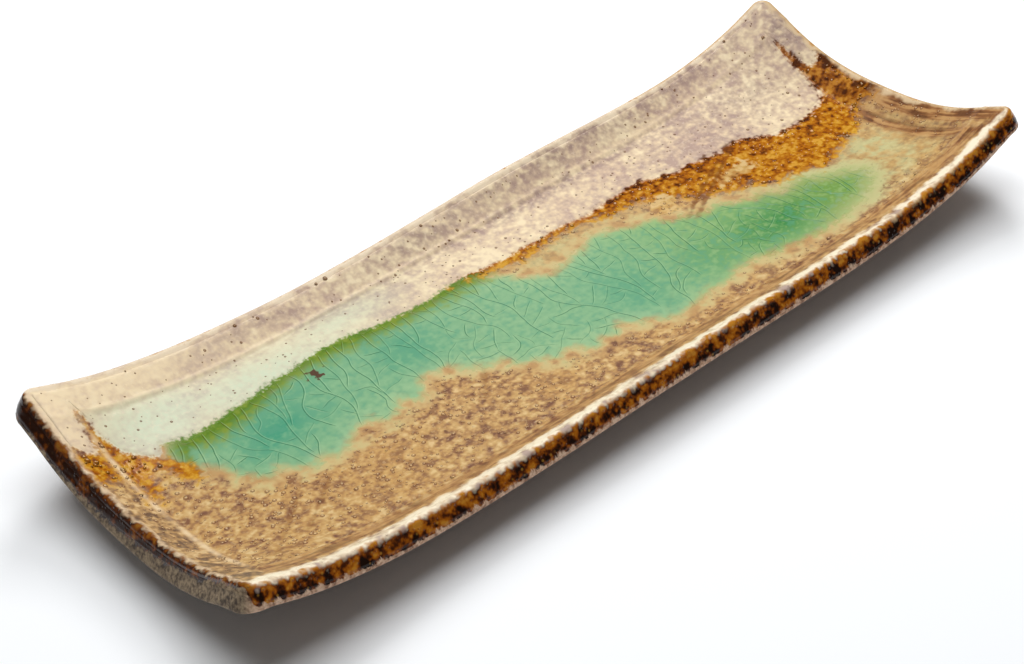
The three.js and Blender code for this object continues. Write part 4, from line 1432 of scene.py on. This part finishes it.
@dataclass(frozen=True)
class GlazeDomes:
    """Burst bubbles or iron specks: many low domes in one mesh, which follow the face they stand on."""

    surface: Surface
    name: str
    clay: Clay
    zone: Zone
    tries: int
    seed: int
    smallest: float
    largest: float
    lowness: float
    placed: tuple[tuple[float, float, float], ...] = ()
    placed_scale: float = 1.0
    scoring: float = 1.0
    proud: float = 0.025
    sides: int = 6
    # Halo value at each dome's tip: below 0 it paints a pale glint
    peak: float = -1.0
    reach_x: Span = (-123, 123)
    reach_y: Span = (-42, 43)
    front_limit: float = -36.0
    clumping: float = 0.25
    pool_gap: float = 1.5
    cream_gap: float = 0.6
    pale_limit: float = 0.45
    cream_depth: float = 1.2
    cover_height: float = 0.18
    cover_edge: Span = (0.0, 2.5)
    # Rows of each dome: width and lift in shares of its radius, and its halo value, above 0 a dark iron ring
    # and below 0 a painted glint
    profile: tuple[tuple[float, float, float], ...] = (
        (2.8, -0.35, 0.0), (1.6, 0.0, 0.9), (0.9, 0.35, 0.3), (0.5, 0.88, -1.0),
    )

    def _places(self) -> tuple[Array, Array, Array]:
        """Middles and radii: random ones that fall in the zone, then the listed ones."""
        random = np.random.default_rng(self.seed)
        x = random.uniform(*self.reach_x, self.tries)
        y = random.uniform(*self.reach_y, self.tries)
        radius = self.smallest + (self.largest - self.smallest) * random.random(self.tries) ** 3
        clumps = np.sin(x / 3.1 + 2 * np.sin(y / 4.3)) * np.sin(y / 2.7 + 2 * np.sin(x / 5.9))
        found = self.surface.glazes.fields(x, y, self.surface.form)
        if self.zone is Zone.BUBBLY:
            kept = (found["pool"] < -self.pool_gap) & (found["cream"] < -self.cream_gap)
            kept &= found["pale"] < self.pale_limit
            kept &= (y > self.front_limit) & (clumps + random.random(self.tries) > self.clumping)
        else:
            kept = found["cream"] > self.cream_depth
        hand = np.array(self.placed).reshape(-1, 3).T
        hand[2] *= self.placed_scale
        return tuple(np.concatenate([free[kept], fixed]) for free, fixed in zip((x, y, radius), hand))

    def build(self) -> bpy.types.Object:
        """Builds and dresses the domes: a ring for each row of the profile, closed below and peaked above."""
        form = self.surface.form
        x, y, radius = self._places()
        angle = np.linspace(0, 2 * math.pi, self.sides, endpoint=False)
        cover = self.cover(x, y)
        skin = Skin()
        halo = []
        lower = None
        for width, lift, dark in self.profile:
            ring_x = x[:, None] + radius[:, None] * width * np.cos(angle)
            ring_y = y[:, None] + radius[:, None] * width * np.sin(angle)
            raised = (lift * self.lowness * radius + cover + self.proud)[:, None]
            ring_z = form.face(ring_x, ring_y, self.scoring) + raised
            ring = skin.add(ring_x, ring_y, ring_z, self.surface.rim.crest_offset(ring_x, ring_y))
            halo.append(np.full(ring.size, dark))
            if lower is None:
                skin.faces.append(ring[:, ::-1])
            else:
                corners = [lower, np.roll(lower, -1, axis=1), np.roll(ring, -1, axis=1), ring]
                skin.faces.append(np.stack(corners, axis=-1).reshape(-1, 4))
            lower = ring
        top = form.face(x, y, self.scoring) + self.lowness * radius + cover + self.proud
        peak = skin.add(x, y, top, self.surface.rim.crest_offset(x, y))
        halo.append(np.full(len(x), self.peak))
        corners = [lower, np.roll(lower, -1, axis=1), np.broadcast_to(peak[:, None], lower.shape)]
        skin.faces.append(np.stack(corners, axis=-1).reshape(-1, 3))
        mesh = skin.mesh(self.name)
        self.surface.paint(mesh)
        write_field(mesh, "halo", np.concatenate(halo))
        return dress(mesh, GlazeFinish(self.clay))

    def cover(self, x: Array, y: Array) -> Array:
        """Height of the overglaze that stands on the face at each place."""
        glazes = self.surface.glazes
        distance = glazes.cream(x, y) if self.zone is Zone.CREAM else glazes.amber(x, y)
        return self.cover_height * smooth_step(distance, *self.cover_edge)


@dataclass(frozen=True)
class RimRing:
    """What the ring pieces share: a loop of sections round the rim."""

    surface: Surface
    flange_step: float = 0.6
    floor_stretch: float = 1.3

    def section(self) -> RimSection:
        """Sections round the crest."""
        form = self.surface.form
        places = PlanGrid(form, self.flange_step * self.floor_stretch, self.flange_step).places()
        return RimSection.around(form, *(edge_loop(v) for v in places))


@dataclass(frozen=True)
class EdgeGlaze(RimRing):
    """Iron glaze round the cut edge: a thin lumpy band, narrower at the left end."""

    start: float = 0.3
    bare_edge: float = 0.9
    depth: float = 0.9
    proud: float = 0.05
    lumpiness: float = 0.025
    least_width: float = 1.2
    upper_tuck: float = 0.05
    lower_tuck: float = 0.3
    upper_slope: float = 0.14
    lower_slope: float = 0.25
    rows: int = 15

    def build(self) -> bpy.types.Object:
        """Builds and dresses the band, with both of its borders tucked under the surface."""
        section = self.section()
        first = section.rounding_length + self.start
        reach = self.surface.rim.fields(section.x, section.y)["iron_end"]
        last = np.minimum(reach + self.start, section.full_length - self.bare_edge)
        last = np.maximum(last, first + self.least_width)
        along = section.x + section.y
        skin = Skin()
        loops = []
        for share in np.linspace(0, 1, self.rows):
            way = first + (last - first) * share
            lumps = np.sin(along / 1.3 + 2 * np.sin(way / 1.2))
            lumps *= np.sin(way / 0.8 + 1.7 * np.sin(along / 2.3))
            swell = min(share / self.upper_slope, (1 - share) / self.lower_slope, 1)
            tucked = self.upper_tuck if share < 0.5 else self.lower_tuck
            inset = tucked - (tucked + self.proud + self.lumpiness * lumps) * swell
            loops.append(skin.add(*section.point(way, inset)))
        loops += [skin.add(*section.point(way, self.depth)) for way in (last, first)]
        for upper, lower in zip(loops, loops[1:] + loops[:1]):
            skin.strip(upper, lower)
        mesh = skin.mesh("iron_edge_band")
        self.surface.paint(mesh)
        return dress(mesh, GlazeFinish(Clay.IRON, specular=0.18), ("iron_edge_glaze",))


@dataclass(frozen=True)
class ClayBody(RimRing):
    """The stoneware slab: its cut edge just inside the glaze, a soft lower edge, and the underside."""

    floor_step: float = 2.0
    inset: float = 0.12
    lower_radius: float = 1.1
    cover: float = 0.7
    start: float = 0.2
    under_rise: float = math.radians(30)
    under_way: float = 3.0
    rows: int = 5

    def _underside(self, x: Array, y: Array) -> tuple[Array, Array, Array]:
        """Lower face: the slab's thickness below the sheet, drawn out with the flange's share of the tilt."""
        form = self.surface.form
        end = np.clip((np.abs(x) - form.frame_half_length) / form.end_flange, 0, 1)
        side = np.clip((np.abs(y) - form.frame_half_width) / form.side_flange, 0, 1)
        share = np.minimum(np.hypot(end, side), 1)
        length = np.maximum(np.hypot(end, side), TINY)
        way_x, way_y = np.sign(x) * end / length, np.sign(y) * side / length
        rim = form.thickness(way_x, way_y)
        shift = share * rim * math.sin(form.cut_tilt)
        depth = (1 - share) * form.frame_thickness + share * rim * math.cos(form.cut_tilt)
        return x + way_x * shift, y + way_y * shift, form.sheet(x, y) - depth

    def build(self) -> bpy.types.Object:
        """Builds and dresses the slab.

        Its lower edge is a quadratic curve from the cut edge to the underside.
        """
        form = self.surface.form
        x, y, out_x, out_y = PlanGrid(form, self.floor_step, self.flange_step).places()
        section = RimSection.around(form, *(edge_loop(v) for v in (x, y, out_x, out_y)))
        skin = Skin()
        first = section.rounding_length + self.start
        hidden = skin.add(x, y, form.face(x, y) - self.cover)
        skin.grid(hidden)
        corner_way = section.full_length
        span = corner_way - self.lower_radius - first
        straight = [first + span * share for share in np.linspace(0, 1, self.rows)]
        loops = [section.point(first, self.cover)]
        loops += [section.point(way, self.inset) for way in straight]
        start = np.stack(section.point(straight[-1], self.inset)[:3])
        corner = np.stack(section.point(corner_way, self.inset)[:3])
        inwards = np.stack([
            -section.out_x * math.cos(self.under_rise),
            -section.out_y * math.cos(self.under_rise),
            np.full(len(section.x), -math.sin(self.under_rise)),
        ])
        end = corner + self.lower_radius * inwards
        for t in np.linspace(1 / self.rows, 1, self.rows):
            place = start * (1 - t) ** 2 + corner * 2 * t * (1 - t) + end * t * t
            loops.append((*place, corner_way + t))
        upper = skin.wall(edge_loop(hidden), loops)
        inner = slice(1, -1)
        under = self._underside(x, y)
        # The wall's last loop goes round the edge of the grid in the order of edge_loop
        index = np.empty(x.shape, int)
        index[inner, inner] = skin.add(*(v[inner, inner] for v in under), corner_way.max() + self.under_way)
        index[:-1, 0], rest = upper[:x.shape[0] - 1], upper[x.shape[0] - 1:]
        index[-1, :-1], rest = rest[:x.shape[1] - 1], rest[x.shape[1] - 1:]
        index[:0:-1, -1], rest = rest[:x.shape[0] - 1], rest[x.shape[0] - 1:]
        index[0, :0:-1] = rest
        skin.grid(index, downwards=True)
        mesh = skin.mesh("stoneware_slab")
        self.surface.paint(mesh)
        return dress(mesh, GlazeFinish(Clay.BODY), ("plate_body",))


@dataclass(frozen=True)
class FootBar:
    """A low bar of clay luted under the slab, with round ends and a soft lower edge."""

    name: str
    node: str
    middle: float
    length: float = 54.0
    width: float = 9.0
    height: float = 3.6
    softness: float = 0.8
    steps: int = 24
    edge_rows: int = 5

    def build(self) -> bpy.types.Object:
        """Builds and dresses the bar from loops of one rounded outline, drawn in near the ground."""
        radius = self.width / 2
        straight = self.length / 2 - radius
        turn = np.linspace(0, math.pi, self.steps)
        angle = np.concatenate([turn, turn + math.pi])
        offset = np.where(np.arange(len(angle)) < self.steps, straight, -straight)
        skin = Skin()
        quarter = np.linspace(0, math.pi / 2, self.edge_rows)
        rings = [(self.softness * (1 - math.sin(a)), self.softness * (1 - math.cos(a))) for a in quarter]
        rings.append((0.0, self.height))
        loops = []
        for inset, z in rings:
            ring_x = self.middle + (radius - inset) * np.cos(angle)
            ring_y = offset + (radius - inset) * np.sin(angle)
            loops.append(skin.add(ring_x, ring_y, np.full(len(angle), z)))
        for lower, upper in zip(loops[:-1], loops[1:]):
            skin.strip(upper, lower)
        skin.faces.append(loops[-1][None, :])
        skin.faces.append(loops[0][None, ::-1])
        mesh = skin.mesh(self.name)
        return dress(mesh, ClayFinish(Clay.FOOT), (self.node,))


@dataclass(frozen=True)
class Studio:
    """White table, soft light, and a camera where the photograph's was."""

    azimuth: float = math.radians(-39.07)
    elevation: float = math.radians(37.79)
    roll: float = math.radians(-4.43)
    distance: float = 502.09
    aside: float = -9.44
    above: float = -23.53
    aim_height: float = 28.32
    focal_length: float = 71.73
    floor_size: float = 6.0
    room_light: float = 0.1
    floor_glow: float = 0.01

    # Square soft lamps that face the plate: name, place and side in metres, watts, and seen as a glint
    LAMPS = (
        ("key_softbox", (0.02, 0.08, 0.9), 0.8, 7.2, False),
        ("side_softbox", (0.42, 0.4, 0.62), 0.3, 3.2, False),
        ("glint_softbox", (0.3, 0.35, 0.9), 0.12, 0.35, True),
    )

    def camera(self) -> None:
        """Sets the camera by its direction, roll, distance and sideways offsets."""
        a, e, r = self.azimuth, self.elevation, self.roll
        back = np.array([math.sin(a) * math.cos(e), -math.cos(a) * math.cos(e), math.sin(e)])
        level = np.array([math.cos(a), math.sin(a), 0.0])
        upright = np.cross(back, level)
        right = math.cos(r) * level + math.sin(r) * upright
        up = -math.sin(r) * level + math.cos(r) * upright
        place = back * self.distance + right * self.aside + up * self.above
        place[2] += self.aim_height
        data = bpy.data.cameras.new("photo_camera")
        data.lens = self.focal_length
        data.clip_start = 0.01
        camera = place_in_scene("photo_camera", data)
        turned = np.eye(4)
        turned[:3, :3] = np.stack([right, up, back], axis=1)
        turned[:3, 3] = place * MM
        camera.matrix_world = Matrix(turned.tolist())
        bpy.context.scene.camera = camera

    def floor(self) -> None:
        """Builds the white table, which keeps the plate's shadow."""
        half = self.floor_size / 2
        corners = [(-half, -half, 0), (half, -half, 0), (half, half, 0), (-half, half, 0)]
        mesh = bpy.data.meshes.new("white_table")
        mesh.from_pydata(corners, [], [(0, 1, 2, 3)])
        f = Finish("matte white paper")
        seen = f.add("LightPath", out="Is Camera Ray")
        mirrored = f.add("LightPath", out="Is Glossy Ray")
        either = f.add("Math", {0: seen, 1: mirrored}, operation="MAXIMUM")
        glow = f.add("Math", {0: either, 1: self.floor_glow}, operation="MULTIPLY")
        f.shade({
            "Emission Strength": glow, "Emission Color": (1, 1, 1, 1), "Base Color": (0.93, 0.95, 0.97, 1),
            "Roughness": 0.9, "Specular IOR Level": 0.0,
        })
        mesh.materials.append(f.material)
        place_in_scene("white_table", mesh)

    def light(self) -> None:
        """Sets the soft room light and the lamps."""
        world = bpy.data.worlds.new("soft_room")
        world.use_nodes = True
        bpy.context.scene.world = world
        tree = world.node_tree
        shade = tree.nodes["Background"]
        rays = tree.nodes.new("ShaderNodeLightPath")
        seen = tree.nodes.new("ShaderNodeMapRange")
        tree.links.new(rays.outputs["Is Camera Ray"], seen.inputs[0])
        seen.inputs[3].default_value = self.room_light
        tree.links.new(seen.outputs[0], shade.inputs["Strength"])
        shade.inputs["Color"].default_value = (1, 1, 1, 1)
        for name, place, size, power, glossy in self.LAMPS:
            data = bpy.data.lights.new(name, "AREA")
            data.size = size
            data.energy = power
            lamp = place_in_scene(name, data)
            lamp.location = place
            lamp.rotation_euler = (-lamp.location).to_track_quat("-Z", "Y").to_euler()
            lamp.visible_glossy = glossy

    def build(self) -> None:
        """Sets table, light and camera."""
        self.floor()
        self.light()
        self.camera()
        bpy.context.scene.view_settings.view_transform = "Standard"


def main() -> None:
    """Builds the plate piece by piece, then the studio round it."""
    logging.basicConfig(level=logging.INFO, format="%(name)s: %(message)s")
    surface = Surface()
    glazes = surface.glazes
    line_ends = ((-126, 43.2), (126, 43.2))
    glass = Overglaze(
        surface, "green_glass_layer", "green_glass_pool", Clay.GREEN,
        glazes.pool_rear, glazes.pool_front, "pool", 0.35, 5.0, scoring=0.1,
    )
    pieces = [
        ClayBody(surface),
        FootBar("foot_bar_left_clay", "foot_bar_left", -62.0),
        FootBar("foot_bar_right_clay", "foot_bar_right", 62.0),
        AshCoat(surface),
        Overglaze(
            surface, "cream_glaze_layer", "cream_rear_glaze", Clay.CREAM,
            line_ends, glazes.meeting, "cream", 0.2, 1.2,
        ),
        glass,
        CrackleNet(glass),
        Overglaze(
            surface, "amber_glaze_layer", "amber_iron_run", Clay.AMBER,
            glazes.meeting, glazes.amber_front, "amber", 0.22, 2.5,
        ),
        EdgeGlaze(surface),
        GlazeDomes(
            surface, "glaze_bubbles", Clay.ASH, Zone.BUBBLY, 5600, 5, 0.12, 0.34, 0.75,
            ((100, 3, 0.6), (48, 18, 0.45), (39, 18.2, 0.45), (106, 7, 0.5), (-109.6, 3.8, 0.4)),
        ),
        GlazeDomes(
            surface, "iron_specks", Clay.CREAM, Zone.CREAM, 1000, 8, 0.17, 0.42, 0.2, PINHOLES,
            placed_scale=0.75, peak=0.2, sides=8, cover_height=0.2, cover_edge=(-0.2, 1.2),
            profile=((1.2, -1.0, 0.3), (0.75, 0.0, 1.0), (0.4, 0.7, 0.9)),
        ),
    ]
    for piece in pieces:
        piece.build()
    Studio().build()


if __name__ == "__main__":
    main()
